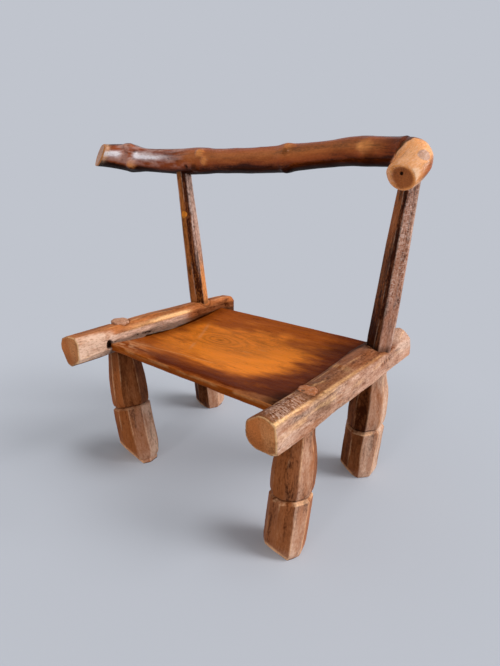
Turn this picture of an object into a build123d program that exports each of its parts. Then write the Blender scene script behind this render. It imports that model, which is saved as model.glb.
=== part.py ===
"""African birthing chair: a low seat of hewn and driven joints, with no nail or glue.

Two hewn rails lie front to back on four grooved legs. A cupped seat board is let into both
rails. Two tapered posts stand in the rails' backs and carry a natural branch as crest rail,
which runs on past the left post and turns forward at the right post.

Millimetres, +Z up, -Y to the front, +X to the right of someone who looks at the chair's front.
The origin is on the floor, under the middle of the chair's whole width and depth.
"""
from build123d import *
import math
import os

# ---- driving dimensions -------------------------------------------------------------------

# The seat lies right of the origin, because the crest rail reaches further out on the left.
SEAT_MIDDLE_X = 83.7
SEAT_SPAN = 268.5  # clear width between the rails' inner faces
FIT_GAP = 0.2  # room round a tenon, a post or the seat board in its hole
END_GAP = 1.0  # room past the end of a blind tenon
CUT_THROUGH = 1.0  # how far a through hole's cutter runs past the wood

# Rails
LEFT_RAIL_WIDTH = 43.0
LEFT_RAIL_HEIGHT = 36.0
LEFT_RAIL_FRONT_Y = -171.5
LEFT_RAIL_BACK_Y = 141.0
RIGHT_RAIL_WIDTH = 37.5
RIGHT_RAIL_HEIGHT = 36.0
RIGHT_RAIL_FRONT_Y = -169.5
RIGHT_RAIL_BACK_Y = 171.0
LEFT_RAIL_ROUNDS = [8.0, 14.0, 17.0, 4.0]  # base inner, base outer, top outer, top inner
RIGHT_RAIL_ROUNDS = [12.0, 5.0, 9.0, 10.0]
RAIL_FRONT_WEAR = 2.5
RAIL_BACK_WEAR = 4.5

# Seat board
SEAT_EDGE_RISE = 26.0  # rails' underside to the board's top, at the middle of its front and back edges
SEAT_TILT = 1.3  # degrees that the board rises towards the right rail
SEAT_THICKNESS = 11.8  # at the front and back edges
SEAT_DISH = 11.5  # how far the top is cupped
SEAT_BELLY = 6.0  # how far the underside bows down
SEAT_FRONT_LEFT_Y = -120.0
SEAT_FRONT_RIGHT_Y = -127.0
SEAT_BACK_Y = 107.5
SEAT_HOUSING = 5.0  # how deep the board's ends stand in the rails
SEAT_EDGE_ROUND = 2.0
SLOT_OVERRUN = 8.0  # how far the left rail's slot is cut on ahead of the board

# Legs
LEG_LENGTH = 162.0  # floor to the rails' underside
LEG_SOLE_ACROSS = 41.0
LEG_LOWER_ACROSS = 48.0
LEG_UPPER_ACROSS = 46.5
LEG_HEAD_ACROSS = 36.0
LEG_SOLE_WEAR = 5.0  # height of the worn bevel round the sole
GROOVE_ACROSS = 41.5
GROOVE_HALF_HEIGHT = 6.0
LEFT_GROOVE_HEIGHT = 78.0
RIGHT_GROOVE_HEIGHT = 73.0
BACK_GROOVE_HEIGHT = 82.0
FRONT_LEG_Y = -88.5
BACK_LEG_Y = 79.5
LEFT_TENON_ACROSS = 24.0
RIGHT_TENON_ACROSS = 20.0
BACK_TENON_ACROSS = 20.0
LEFT_TENON_SHOULDER = 7.5  # wood between the seat's housing and the front left tenon
RIGHT_TENON_SHOULDER = 2.5
LEG_INSET = 4.0  # how far a front leg's head stands from its tenon's middle, towards the seat
TENON_PROUD = 5.0  # how far the front tenons stand above the rails
TENON_END_ROUND = 2.5
BACK_TENON_LENGTH = 14.0

# How far each foot stands out from its own head, along X and along Y
FRONT_LEFT_SPLAY_X = 35.5
FRONT_LEFT_SPLAY_Y = -4.0
FRONT_RIGHT_SPLAY_X = 0.0
FRONT_RIGHT_SPLAY_Y = -17.5
BACK_LEFT_SPLAY_X = -1.0
BACK_LEFT_SPLAY_Y = 22.5
BACK_RIGHT_SPLAY_X = -9.0
BACK_RIGHT_SPLAY_Y = 15.0
FRONT_LEFT_KNEE = -4.0  # how far the middle of the crooked front left leg stands out along X

# Posts
LEFT_POST_LENGTH = 219.5  # rail's top to the middle of the branch
RIGHT_POST_LENGTH = 237.5
LEFT_POST_Y = 75.5
RIGHT_POST_Y = 88.5
LEFT_POST_OFFSET = -1.5  # how far the post's base stands right of the middle of its rail
RIGHT_POST_OFFSET = -1.0
LEFT_POST_LEAN = 9.3  # degrees out to the left
RIGHT_POST_LEAN = 3.8  # degrees out to the right
POST_BASE_ACROSS = 28.0
LEFT_POST_MIDDLE_ACROSS = 24.5
RIGHT_POST_MIDDLE_ACROSS = 27.0
POST_HEAD_ACROSS = 20.5
POST_SEATING = 4.0  # how deep the full post is let into its rail
POST_TENON_ACROSS = 18.0
POST_TENON_LENGTH = 8.0

# Crest rail
CREST_RADIUS = 16.8
CREST_LEFT_RADIUS = 18.0
CREST_KNOT_SWELL = 2.0  # how much a knot stands out
CREST_END_KNOT_SWELL = 3.8
CREST_BOW_BACK = 4.0  # how far the middle bows to the back
CREST_OVERHANG = 148.0  # from the left post out to the left end
CREST_OVERHANG_FORWARD = 54.0  # how far the left end comes forward
CREST_KNUCKLE_RADIUS = 18.0
CREST_KNUCKLE_OUT = 4.0  # the elbow's centre, out from the right post
CREST_KNUCKLE_FORWARD = 13.0
CREST_KNUCKLE_DROP = 4.5
CREST_STUB_FORWARD = 51.0  # from the right post to the forward end
CREST_STUB_DROP = 22.5
CREST_STUB_RADIUS = 16.4
CREST_STUB_ROUND = 4.0
CREST_END_CUT_TURN = 21.0  # degrees that the left end's slanting cut looks left of straight ahead
CREST_END_CUT_RISE = 23.0  # degrees that it looks up

# ---- places worked out from them ----------------------------------------------------------

left_inner_x = SEAT_MIDDLE_X - SEAT_SPAN / 2
right_inner_x = SEAT_MIDDLE_X + SEAT_SPAN / 2
rail_base = LEG_LENGTH
left_rail_top = rail_base + LEFT_RAIL_HEIGHT
right_rail_top = rail_base + RIGHT_RAIL_HEIGHT
left_crest_height = left_rail_top + LEFT_POST_LENGTH
right_crest_height = right_rail_top + RIGHT_POST_LENGTH
seat_cut_height = SEAT_EDGE_RISE + SEAT_THICKNESS  # taller over the rails' underside than the board
left_tenon_x = left_inner_x - SEAT_HOUSING - LEFT_TENON_SHOULDER - LEFT_TENON_ACROSS / 2
right_tenon_x = right_inner_x + SEAT_HOUSING + RIGHT_TENON_SHOULDER + RIGHT_TENON_ACROSS / 2
left_post_x = left_inner_x - LEFT_RAIL_WIDTH / 2 + LEFT_POST_OFFSET
right_post_x = right_inner_x + RIGHT_RAIL_WIDTH / 2 + RIGHT_POST_OFFSET


def line_through(foot, head):
    """A function that gives the point at a height on the line from foot to head."""

    def at(height):
        share = (height - foot[2]) / (head[2] - foot[2])
        return tuple(low + (high - low) * share for low, high in zip(foot, head))

    return at


def eight_flats(sections, growth=0.0):
    """A bar with eight flats: (point, width across flats) pairs, joined by straight faces."""
    with BuildPart() as bar:
        for point, across in sections:
            with BuildSketch(Plane(point)):
                RegularPolygon(across / 2 + growth, 8, major_radius=False, rotation=22.5)
        loft(ruled=True)
    return bar.part


def leaning(x, y, base, top, degrees):
    """The axis of a post that leans out along X, from (x, y, base) up to the height top."""
    reach = (top - base) * math.tan(math.radians(degrees))
    return line_through((x, y, base), (x + reach, y, top))


def leg_axis(x, y, splay_x, splay_y, knee=0.0):
    """The axis of a leg whose head is at (x, y) under its rail and whose foot stands out.

    A crooked leg's axis has a knee at half its height, which stands out along X.
    """
    straight = line_through((x + splay_x, y + splay_y, 0), (x, y, LEG_LENGTH))

    def at(height):
        axis_x, axis_y, axis_z = straight(height)
        return axis_x + knee * (1 - abs(2 * height / LEG_LENGTH - 1)), axis_y, axis_z

    return at


leg_axes = {
    "front_left_leg": leg_axis(
        left_tenon_x + LEG_INSET, FRONT_LEG_Y, FRONT_LEFT_SPLAY_X, FRONT_LEFT_SPLAY_Y, FRONT_LEFT_KNEE
    ),
    "front_right_leg": leg_axis(
        right_tenon_x - LEG_INSET, FRONT_LEG_Y, FRONT_RIGHT_SPLAY_X, FRONT_RIGHT_SPLAY_Y
    ),
    "back_left_leg": leg_axis(left_post_x, BACK_LEG_Y, BACK_LEFT_SPLAY_X, BACK_LEFT_SPLAY_Y),
    "back_right_leg": leg_axis(right_post_x, BACK_LEG_Y, BACK_RIGHT_SPLAY_X, BACK_RIGHT_SPLAY_Y),
}
groove_heights = {
    "front_left_leg": LEFT_GROOVE_HEIGHT,
    "front_right_leg": RIGHT_GROOVE_HEIGHT,
    "back_left_leg": BACK_GROOVE_HEIGHT,
    "back_right_leg": BACK_GROOVE_HEIGHT,
}
# Each leg's upright tenon: its middle, top and width. The front ones come up through their rails.
back_tenon_top = rail_base + BACK_TENON_LENGTH
tenons = {
    "front_left_leg": (left_tenon_x, FRONT_LEG_Y, left_rail_top + TENON_PROUD, LEFT_TENON_ACROSS),
    "front_right_leg": (right_tenon_x, FRONT_LEG_Y, right_rail_top + TENON_PROUD, RIGHT_TENON_ACROSS),
    "back_left_leg": (left_post_x, BACK_LEG_Y, back_tenon_top, BACK_TENON_ACROSS),
    "back_right_leg": (right_post_x, BACK_LEG_Y, back_tenon_top, BACK_TENON_ACROSS),
}
left_post_axis = leaning(left_post_x, LEFT_POST_Y, left_rail_top, left_crest_height, -LEFT_POST_LEAN)
right_post_axis = leaning(right_post_x, RIGHT_POST_Y, right_rail_top, right_crest_height, RIGHT_POST_LEAN)


# ---- legs ---------------------------------------------------------------------------------


def mortise(name, gap):
    """The hole for a leg's tenon, up from below its rail to a gap past the tenon's end."""
    x, y, top, across = tenons[name]
    ends = [((x, y, rail_base - CUT_THROUGH), across), ((x, y, top + gap), across)]
    return eight_flats(ends, growth=FIT_GAP)


def make_leg(name):
    """A leg of eight hewn flats with a V groove round its middle, worn sole and tenon."""
    axis = leg_axes[name]
    groove = groove_heights[name]
    tenon_x, tenon_y, tenon_top, tenon_across = tenons[name]
    tenon_ends = [(tenon_x, tenon_y, LEG_LENGTH), (tenon_x, tenon_y, tenon_top)]
    widths = [
        (0, LEG_SOLE_ACROSS),
        (LEG_SOLE_WEAR, LEG_LOWER_ACROSS),
        (groove - GROOVE_HALF_HEIGHT, LEG_LOWER_ACROSS),
        (groove, GROOVE_ACROSS),
        (groove + GROOVE_HALF_HEIGHT, LEG_UPPER_ACROSS),
        ((groove + LEG_LENGTH) / 2, LEG_UPPER_ACROSS),
        (LEG_LENGTH, LEG_HEAD_ACROSS),
    ]
    with BuildPart() as leg:
        add(eight_flats([(axis(height), across) for height, across in widths]))
        add(eight_flats([(end, tenon_across) for end in tenon_ends]))
        chamfer(leg.faces().sort_by(Axis.Z)[-1].edges(), TENON_END_ROUND)
    return leg.part


# ---- posts --------------------------------------------------------------------------------


def post_foot(axis, rail_top, growth=0.0, above=0.0, below=0.0):
    """A post's let-in base and tenon."""
    seat = rail_top - POST_SEATING
    tip = seat - POST_TENON_LENGTH - below
    top = rail_top + above
    base = eight_flats([(axis(seat), POST_BASE_ACROSS), (axis(top), POST_BASE_ACROSS)], growth)
    tenon = eight_flats([(axis(tip), POST_TENON_ACROSS), (axis(seat), POST_TENON_ACROSS)], growth)
    return base + tenon


def post_socket(axis, rail_top):
    """The hole in a rail that takes a post's foot."""
    return post_foot(axis, rail_top, growth=FIT_GAP, above=CUT_THROUGH, below=END_GAP)


def post_shaft(axis, rail_top, head, middle_across, growth=0.0):
    """A post's tapering shaft from its rail up into the crest rail, or its hole with growth."""
    middle = (rail_top + head) / 2
    sections = [(rail_top, POST_BASE_ACROSS), (middle, middle_across), (head, POST_HEAD_ACROSS)]
    return eight_flats([(axis(height), across) for height, across in sections], growth)


def make_post(axis, rail_top, head, middle_across):
    """A whole post: shaft, let-in base and tenon."""
    with BuildPart() as post:
        add(post_shaft(axis, rail_top, head, middle_across))
        add(post_foot(axis, rail_top))
    return post.part


# ---- seat board ---------------------------------------------------------------------------


def seat_sheet(gap=0.0):
    """The cupped sheet that the seat board is cut from, as long as the rails are apart.

    Its section across Y is held between two arcs. It is drawn at the left end and carried
    along X with the tilt, so its ends stay upright against the housings' walls.
    """
    length = SEAT_SPAN + 2 * SEAT_HOUSING
    left_x = left_inner_x - SEAT_HOUSING
    edge_height = rail_base + SEAT_EDGE_RISE - math.tan(math.radians(SEAT_TILT)) * length / 2
    front_y = SEAT_FRONT_RIGHT_Y - 2 * SLOT_OVERRUN
    back_y = SEAT_BACK_Y + SLOT_OVERRUN
    top = edge_height + gap
    base = edge_height - SEAT_THICKNESS
    with BuildPart() as sheet:
        with BuildSketch(Plane.YZ.offset(left_x)):
            with BuildLine():
                SagittaArc((front_y, top), (back_y, top), -SEAT_DISH)
                Line((back_y, top), (back_y, base))
                SagittaArc((back_y, base), (front_y, base), SEAT_BELLY)
                Line((front_y, base), (front_y, top))
            make_face()
        slope = math.radians(SEAT_TILT)
        extrude(amount=length / math.cos(slope), dir=(math.cos(slope), 0, math.sin(slope)))
    return sheet.part


with BuildPart() as seat_board:
    add(seat_sheet())
    with BuildSketch(Plane.XY.offset(rail_base)):
        with BuildLine():
            Polyline(
                (left_inner_x - SEAT_HOUSING, SEAT_FRONT_LEFT_Y),
                (right_inner_x + SEAT_HOUSING, SEAT_FRONT_RIGHT_Y),
                (right_inner_x + SEAT_HOUSING, SEAT_BACK_Y),
                (left_inner_x - SEAT_HOUSING, SEAT_BACK_Y),
                close=True,
            )
        make_face()
    extrude(amount=seat_cut_height, mode=Mode.INTERSECT)
    long_edges = seat_board.edges().filter_by(lambda edge: edge.length > SEAT_SPAN)
    fillet(long_edges, SEAT_EDGE_ROUND)


# ---- rails --------------------------------------------------------------------------------


def rail_blank(inner_x, outer_x, top, rounds, front_y, back_y):
    """A hewn log, flat inside and below and round outside, from its front end to its back end."""
    corners = [(inner_x, rail_base), (outer_x, rail_base), (outer_x, top), (inner_x, top)]
    with BuildPart() as blank:
        with BuildSketch(Plane.XZ.offset(-front_y)):
            with BuildLine():
                FilletPolyline(*corners, radius=rounds, close=True)
            make_face()
        extrude(amount=front_y - back_y)
        ends = blank.faces().filter_by(Axis.Y).sort_by(Axis.Y)
        fillet(ends[0].edges(), RAIL_FRONT_WEAR)
        ends = blank.faces().filter_by(Axis.Y).sort_by(Axis.Y)
        fillet(ends[-1].edges(), RAIL_BACK_WEAR)
    return blank.part


def seat_slot(inner_x, side, front_y):
    """The housing for one end of the seat board, from front_y to just behind the board."""
    with BuildPart() as slot:
        add(seat_sheet(gap=FIT_GAP))
        with BuildSketch(Plane.XY.offset(rail_base)):
            with Locations((inner_x + side * SEAT_HOUSING, front_y)):
                Rectangle(
                    2 * SEAT_HOUSING,
                    SEAT_BACK_Y + FIT_GAP - front_y,
                    align=(Align.MIN if side < 0 else Align.MAX, Align.MIN),
                )
        extrude(amount=seat_cut_height, mode=Mode.INTERSECT)
    return slot.part


with BuildPart() as left_rail:
    add(
        rail_blank(
            left_inner_x,
            left_inner_x - LEFT_RAIL_WIDTH,
            left_rail_top,
            LEFT_RAIL_ROUNDS,
            LEFT_RAIL_FRONT_Y,
            LEFT_RAIL_BACK_Y,
        )
    )
    add(seat_slot(left_inner_x, -1, SEAT_FRONT_LEFT_Y - SLOT_OVERRUN), mode=Mode.SUBTRACT)
    add(mortise("front_left_leg", CUT_THROUGH), mode=Mode.SUBTRACT)
    add(mortise("back_left_leg", END_GAP), mode=Mode.SUBTRACT)
    add(post_socket(left_post_axis, left_rail_top), mode=Mode.SUBTRACT)

with BuildPart() as right_rail:
    add(
        rail_blank(
            right_inner_x,
            right_inner_x + RIGHT_RAIL_WIDTH,
            right_rail_top,
            RIGHT_RAIL_ROUNDS,
            RIGHT_RAIL_FRONT_Y,
            RIGHT_RAIL_BACK_Y,
        )
    )
    add(seat_slot(right_inner_x, 1, SEAT_FRONT_RIGHT_Y - FIT_GAP), mode=Mode.SUBTRACT)
    add(mortise("front_right_leg", CUT_THROUGH), mode=Mode.SUBTRACT)
    add(mortise("back_right_leg", END_GAP), mode=Mode.SUBTRACT)
    add(post_socket(right_post_axis, right_rail_top), mode=Mode.SUBTRACT)

# ---- crest rail ---------------------------------------------------------------------------

left_post = (left_post_axis, left_rail_top, left_crest_height, LEFT_POST_MIDDLE_ACROSS)
right_post = (right_post_axis, right_rail_top, right_crest_height, RIGHT_POST_MIDDLE_ACROSS)
left_head = Vector(left_post_axis(left_crest_height))
right_head = Vector(right_post_axis(right_crest_height))
crest_span = right_head - left_head
knuckle = right_head + Vector(CREST_KNUCKLE_OUT, -CREST_KNUCKLE_FORWARD, -CREST_KNUCKLE_DROP)
stub_end = right_head + Vector(CREST_KNUCKLE_OUT, -CREST_STUB_FORWARD, -CREST_STUB_DROP)


def overhang(share, rise, radius):
    """A place on the left overhang: its share of the way out, and the branch's radius there."""
    out = Vector(-CREST_OVERHANG * share, -CREST_OVERHANG_FORWARD * share**1.4, rise)
    return left_head + out, radius


def between(share, rise, radius):
    """A place between the posts: its share of the way to the right, bowed back in the middle."""
    bow = CREST_BOW_BACK * math.sin(math.pi * share)
    return left_head + crest_span * share + Vector(0, bow, rise), radius


crest_places = [
    overhang(1.16, 4.6, CREST_LEFT_RADIUS - 1.4),
    overhang(1.0, 4.2, CREST_LEFT_RADIUS - 1.0),
    overhang(0.82, 3.6, CREST_LEFT_RADIUS),
    overhang(0.66, 2.0, CREST_LEFT_RADIUS + CREST_END_KNOT_SWELL),
    overhang(0.49, 0.6, CREST_LEFT_RADIUS - 0.4),
    overhang(0.27, 0.0, CREST_LEFT_RADIUS - 0.4),
    between(0.0, 0.0, CREST_LEFT_RADIUS),
    between(0.1, -0.5, CREST_RADIUS + CREST_KNOT_SWELL),
    between(0.2, -1.2, CREST_RADIUS),
    between(0.46, -0.9, CREST_RADIUS),
    between(0.53, -0.2, CREST_RADIUS + CREST_KNOT_SWELL),
    between(0.6, 0.8, CREST_RADIUS),
    between(0.72, 2.3, CREST_RADIUS - 0.8),
    between(0.84, 3.4, CREST_RADIUS + CREST_KNOT_SWELL / 2),
    between(0.94, 2.0, CREST_RADIUS),
    (knuckle, CREST_RADIUS),
]

cut_turn = math.radians(CREST_END_CUT_TURN)
cut_rise = math.radians(CREST_END_CUT_RISE)
cut_ahead = math.cos(cut_rise)
end_cut = Plane(
    overhang(1.0, 4.2, CREST_LEFT_RADIUS)[0],
    z_dir=(-cut_ahead * math.sin(cut_turn), -cut_ahead * math.cos(cut_turn), math.sin(cut_rise)),
)

with BuildPart() as crest_rail:
    for index, (place, radius) in enumerate(crest_places):
        before = crest_places[max(index - 1, 0)][0]
        after = crest_places[min(index + 1, len(crest_places) - 1)][0]
        with BuildSketch(Plane(place, x_dir=(0, 0, 1), z_dir=after - before)):
            Circle(radius)
    loft(ruled=True)
    split(bisect_by=end_cut, keep=Keep.BOTTOM)
    with Locations(knuckle):
        Sphere(CREST_KNUCKLE_RADIUS)
    for place, radius in ((knuckle, CREST_KNUCKLE_RADIUS - 0.6), (stub_end, CREST_STUB_RADIUS)):
        with BuildSketch(Plane(place, x_dir=(1, 0, 0), z_dir=stub_end - knuckle)):
            Circle(radius)
    loft()
    fillet(crest_rail.faces().sort_by(Axis.Y)[0].edges(), CREST_STUB_ROUND)
    add(post_shaft(*left_post, growth=FIT_GAP), mode=Mode.SUBTRACT)
    add(post_shaft(*right_post, growth=FIT_GAP), mode=Mode.SUBTRACT)

# ---- every piece, ready to write ----------------------------------------------------------

pieces = {
    "seat_board": seat_board.part,
    "left_rail": left_rail.part,
    "right_rail": right_rail.part,
    "left_post": make_post(*left_post),
    "right_post": make_post(*right_post),
    "crest_rail": crest_rail.part,
}
for leg_name in leg_axes:
    pieces[leg_name] = make_leg(leg_name)

os.makedirs("parts", exist_ok=True)
for piece_name, piece in pieces.items():
    piece.label = piece_name
    export_step(piece, f"parts/{piece_name}.step")
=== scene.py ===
"""African birthing chair, dressed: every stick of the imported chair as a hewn, worn and handled one.

Each piece is a surface worked out with numpy over two parameters, one along the stick and one
round it, and stands for the CAD node of its name. Sizes in the working are millimetres.
"""

import math

import bpy
import numpy as np
from mathutils import Matrix, Vector


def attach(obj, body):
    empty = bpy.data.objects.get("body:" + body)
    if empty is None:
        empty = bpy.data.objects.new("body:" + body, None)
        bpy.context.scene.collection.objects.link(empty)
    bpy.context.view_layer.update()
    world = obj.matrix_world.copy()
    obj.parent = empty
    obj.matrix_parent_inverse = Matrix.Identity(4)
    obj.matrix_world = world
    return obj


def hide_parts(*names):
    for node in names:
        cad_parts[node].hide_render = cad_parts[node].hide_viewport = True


bl_info = {
    "name": "African Birthing Chair",
    "version": (1, 0, 0),
    "blender": (4, 5, 0),
    "location": "3D View > Sidebar > Chair",
    "description": "Builds a hewn low chair with a branch for its crest rail",
    "category": "Add Mesh",
}

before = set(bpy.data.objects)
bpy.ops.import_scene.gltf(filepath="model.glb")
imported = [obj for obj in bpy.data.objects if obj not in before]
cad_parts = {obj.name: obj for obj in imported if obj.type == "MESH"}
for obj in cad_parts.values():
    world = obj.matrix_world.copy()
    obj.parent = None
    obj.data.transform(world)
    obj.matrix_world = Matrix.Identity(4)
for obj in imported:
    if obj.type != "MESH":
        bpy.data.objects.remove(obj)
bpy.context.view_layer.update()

MM = 0.001
TURN = 2 * math.pi
# The marks each piece carries. Besides dirt, patina, dust and rubbing, grime and dark also hold painted shade,
# and chalk and wear also hold painted sheen and highlights.
MARKS = ("wear_and_highlight", "grime", "chalk", "warm", "dark", "hatch")
# How many sizes of noise are added, how strong each is beside the one before, and the step between
# their seeds.
OCTAVES, FADING, SEED_STEP = 3, 0.55, 31
# Steps along one span of a smooth line, and rings over an end's face and round its rim.
SPAN_STEPS, FACE_RINGS, RIM_RINGS = 40, 14, 6
# The share of the radius at which an end's face begins, round its pole.
POLE_SHARE = 0.04
# A flat reaches no further round than where the cosine is this, and its arris shows this far off.
LEAST_COSINE, ARRIS_WIDTH = 0.05, 0.6
# A bar that runs nearly along a cut slides as if it met it at this slope. Rows that no cut may
# reach count as this far inside it.
LEAST_SLOPE, UNREACHED = 0.2, -1000.0


def paint(red, green, blue):
    """A colour as a painter writes it, 0 to 255, turned to the linear light that Blender mixes."""
    shares = np.array([red, green, blue]) / 255
    return tuple(np.where(shares <= 0.04045, shares / 12.92, ((shares + 0.055) / 1.055) ** 2.4))


# ---- numbers over a surface ---------------------------------------------------------------


def smooth(values, low, high):
    """0 below low, 1 above high, and an S curve between: 3t^2 - 2t^3."""
    share = np.clip((values - low) / (high - low), 0, 1)
    return share * share * (3 - 2 * share)


def lattice(cells, seed):
    """A steady number from 0 to 1 for each whole-number cell, by mixing the bits of its three places."""
    mixed = cells[..., 0] * 374761393 + cells[..., 1] * 668265263 + cells[..., 2] * 1274126177
    mixed = (mixed + seed * 974634777) & 0xFFFFFFFF
    mixed = ((mixed ^ (mixed >> 13)) * 1103515245) & 0xFFFFFFFF
    mixed = ((mixed ^ (mixed >> 15)) * 2654435761) & 0xFFFFFFFF
    return ((mixed ^ (mixed >> 16)) & 0xFFFFFF) / 0xFFFFFF


def lumps(points, size, seed):
    """Smooth noise from -1 to 1: lattice numbers a size apart, blended by an S curve along each axis."""
    scaled = points / np.asarray(size, float)
    cells = np.floor(scaled).astype(np.int64)
    near = scaled - cells
    near = near * near * (3 - 2 * near)
    total = 0.0
    for corner in np.ndindex(2, 2, 2):
        share = np.prod(np.where(corner, near, 1 - near), axis=-1)
        total = total + share * lattice(cells + np.array(corner), seed)
    return 2 * total - 1


def rough(points, size, seed):
    """Noise of several sizes: each is half as large and a little over half as strong as the one before."""
    size = np.asarray(size, float)
    return sum(FADING**i * lumps(points, size / 2**i, seed + SEED_STEP * i) for i in range(OCTAVES))


def patches(points, size, seed, low, high):
    """Soft-edged patches: the noise of several sizes, 0 below low and 1 above high."""
    return smooth(rough(points, size, seed), low, high)


def bell(values, middle, width):
    """1 at the middle, falling off as exp(-d^2), with d in widths."""
    return np.exp(-(((values - middle) / width) ** 2))


def spot(points, place, size):
    """1 at a place, falling off as exp(-d^2), with d in sizes, which may differ by axis."""
    away = (points - np.array(place, float)) / np.array(size, float)
    return np.exp(-np.sum(away * away, axis=-1))


def carved(angle, facing, distance, sharpness):
    """The radius of a many-sided bar: the least of distance / cos(angle - facing), softly.

    The soft least of r1, r2 ... is (r1^-p + r2^-p + ...)^(-1/p), where p is the sharpness. Also
    gives how near an arris is, from 0 on a flat to 1 on the line where two flats meet, and each
    flat's share of the point.
    """
    turn = angle[..., None] - np.radians(np.asarray(facing, float))
    reach = np.asarray(distance, float) / np.maximum(np.cos(turn), LEAST_COSINE)
    order = np.sort(reach, axis=-1)
    least = order[..., :1]
    pull = (reach / least) ** -sharpness
    total = np.sum(pull, axis=-1)
    arris = bell(order[..., 1], order[..., 0], ARRIS_WIDTH)
    return least[..., 0] * total ** (-1 / sharpness), arris, pull / total[..., None]


def curve(points):
    """A smooth line through points, by the Catmull-Rom cubic over each span."""
    points = np.asarray(points, float)
    padded = np.vstack([2 * points[0] - points[1], points, 2 * points[-1] - points[-2]])
    spans = len(points) - 1
    place = np.linspace(0, spans, spans * SPAN_STEPS + 1)
    index = np.minimum(place.astype(int), spans - 1)
    t = (place - index)[:, None]
    a, b, c, d = (padded[index + k] for k in range(4))
    return 0.5 * (2 * b + (c - a) * t + (2 * a - 5 * b + 4 * c - d) * t**2 + (3 * b - a - 3 * c + d) * t**3)


def read(table, places):
    """Straight-line reading of a table of (place, value) pairs."""
    table = np.asarray(table, float)
    return np.interp(places, table[:, 0], table[:, 1])


def capped(length, radius, spacing, start, end):
    """How far along each ring of a closed bar stands, and its share of the full radius.

    Each end is (rim, dome): a crowned face whose middle stands out by dome, rounded into the side
    by a quarter circle of radius rim. The face falls back from its middle with the square of the
    share.
    """

    def face(rim, dome):
        flat = np.linspace(POLE_SHARE, 1 - rim / radius, FACE_RINGS)
        bend = np.linspace(0, math.pi / 2, RIM_RINGS + 1)[1:]
        share = np.concatenate([flat, 1 - rim / radius * (1 - np.sin(bend))])
        height = np.concatenate([dome * (flat / flat[-1]) ** 2, dome + rim * (1 - np.cos(bend))])
        return height, share

    low_height, low_share = face(*start)
    high_height, high_share = face(*end)
    body = length - low_height[-1] - high_height[-1]
    inner = low_height[-1] + body * np.linspace(0, 1, max(int(body / spacing), 2) + 1)[1:-1]
    along = np.concatenate([low_height, inner, (length - high_height)[::-1]])
    share = np.concatenate([low_share, np.ones(len(inner)), high_share[::-1]])
    return along, share


class Bar:
    """A bar along a smooth line: its rings' centres, their own axes, and the angle round them."""

    def __init__(self, line, spacing, columns, start, end, upright, radius):
        places = curve(line)
        steps = np.linalg.norm(np.diff(places, axis=0), axis=1)
        run = np.concatenate([[0], np.cumsum(steps)])
        self.length = run[-1]
        self.along, self.share = capped(self.length, radius, spacing, start, end)
        slope = np.gradient(places, run, axis=0)
        self.centre = np.stack([np.interp(self.along, run, places[:, k]) for k in range(3)], 1)
        self.tangent = np.stack([np.interp(self.along, run, slope[:, k]) for k in range(3)], 1)
        self.tangent /= np.linalg.norm(self.tangent, axis=1)[:, None]
        up = np.array(upright, float) - self.tangent * (self.tangent @ np.array(upright, float))[:, None]
        self.up = up / np.linalg.norm(up, axis=1)[:, None]
        self.across = np.cross(self.up, self.tangent)
        self.angle = np.broadcast_to(np.arange(columns) * TURN / columns, (len(self.along), columns))
        self.run = np.broadcast_to(self.along[:, None], self.angle.shape)
        self.inside = np.broadcast_to(self.share[:, None], self.angle.shape)

    def rod(self, radius):
        """Straightened places: the section as it is, and how far along as the third number."""
        flat = self.inside * radius
        return np.stack([flat * np.cos(self.angle), flat * np.sin(self.angle), self.run], -1)

    def points(self, radius):
        """Real places: centre + share * radius * (cos angle * across + sin angle * up)."""
        flat = (self.inside * radius)[..., None]
        across, up = self.across[:, None], self.up[:, None]
        turned = np.cos(self.angle)[..., None] * across + np.sin(self.angle)[..., None] * up
        return self.centre[:, None] + flat * turned

    def cut(self, points, place, facing, softness, where, shave=False):
        """Slides what lies past a plane back along the bar onto it, with an edge rounded by softness.

        A shaved place is pressed straight down onto its plane. Only rows inside the mask where are
        cut. Also gives how far past the plane each point lay.
        """
        facing = np.array(facing, float) / np.linalg.norm(facing)
        past = np.where(where, (points - np.array(place, float)) @ facing, UNREACHED)
        kept = -softness * np.logaddexp(0, -past / softness)
        if shave:
            return points - (past - kept)[..., None] * facing, past
        slope = (self.tangent @ facing)[:, None]
        slope = np.where(np.abs(slope) < LEAST_SLOPE, LEAST_SLOPE * np.sign(slope + 1e-9), slope)
        moved = points - ((past - kept) / slope)[..., None] * self.tangent[:, None]
        return moved, past


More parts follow.
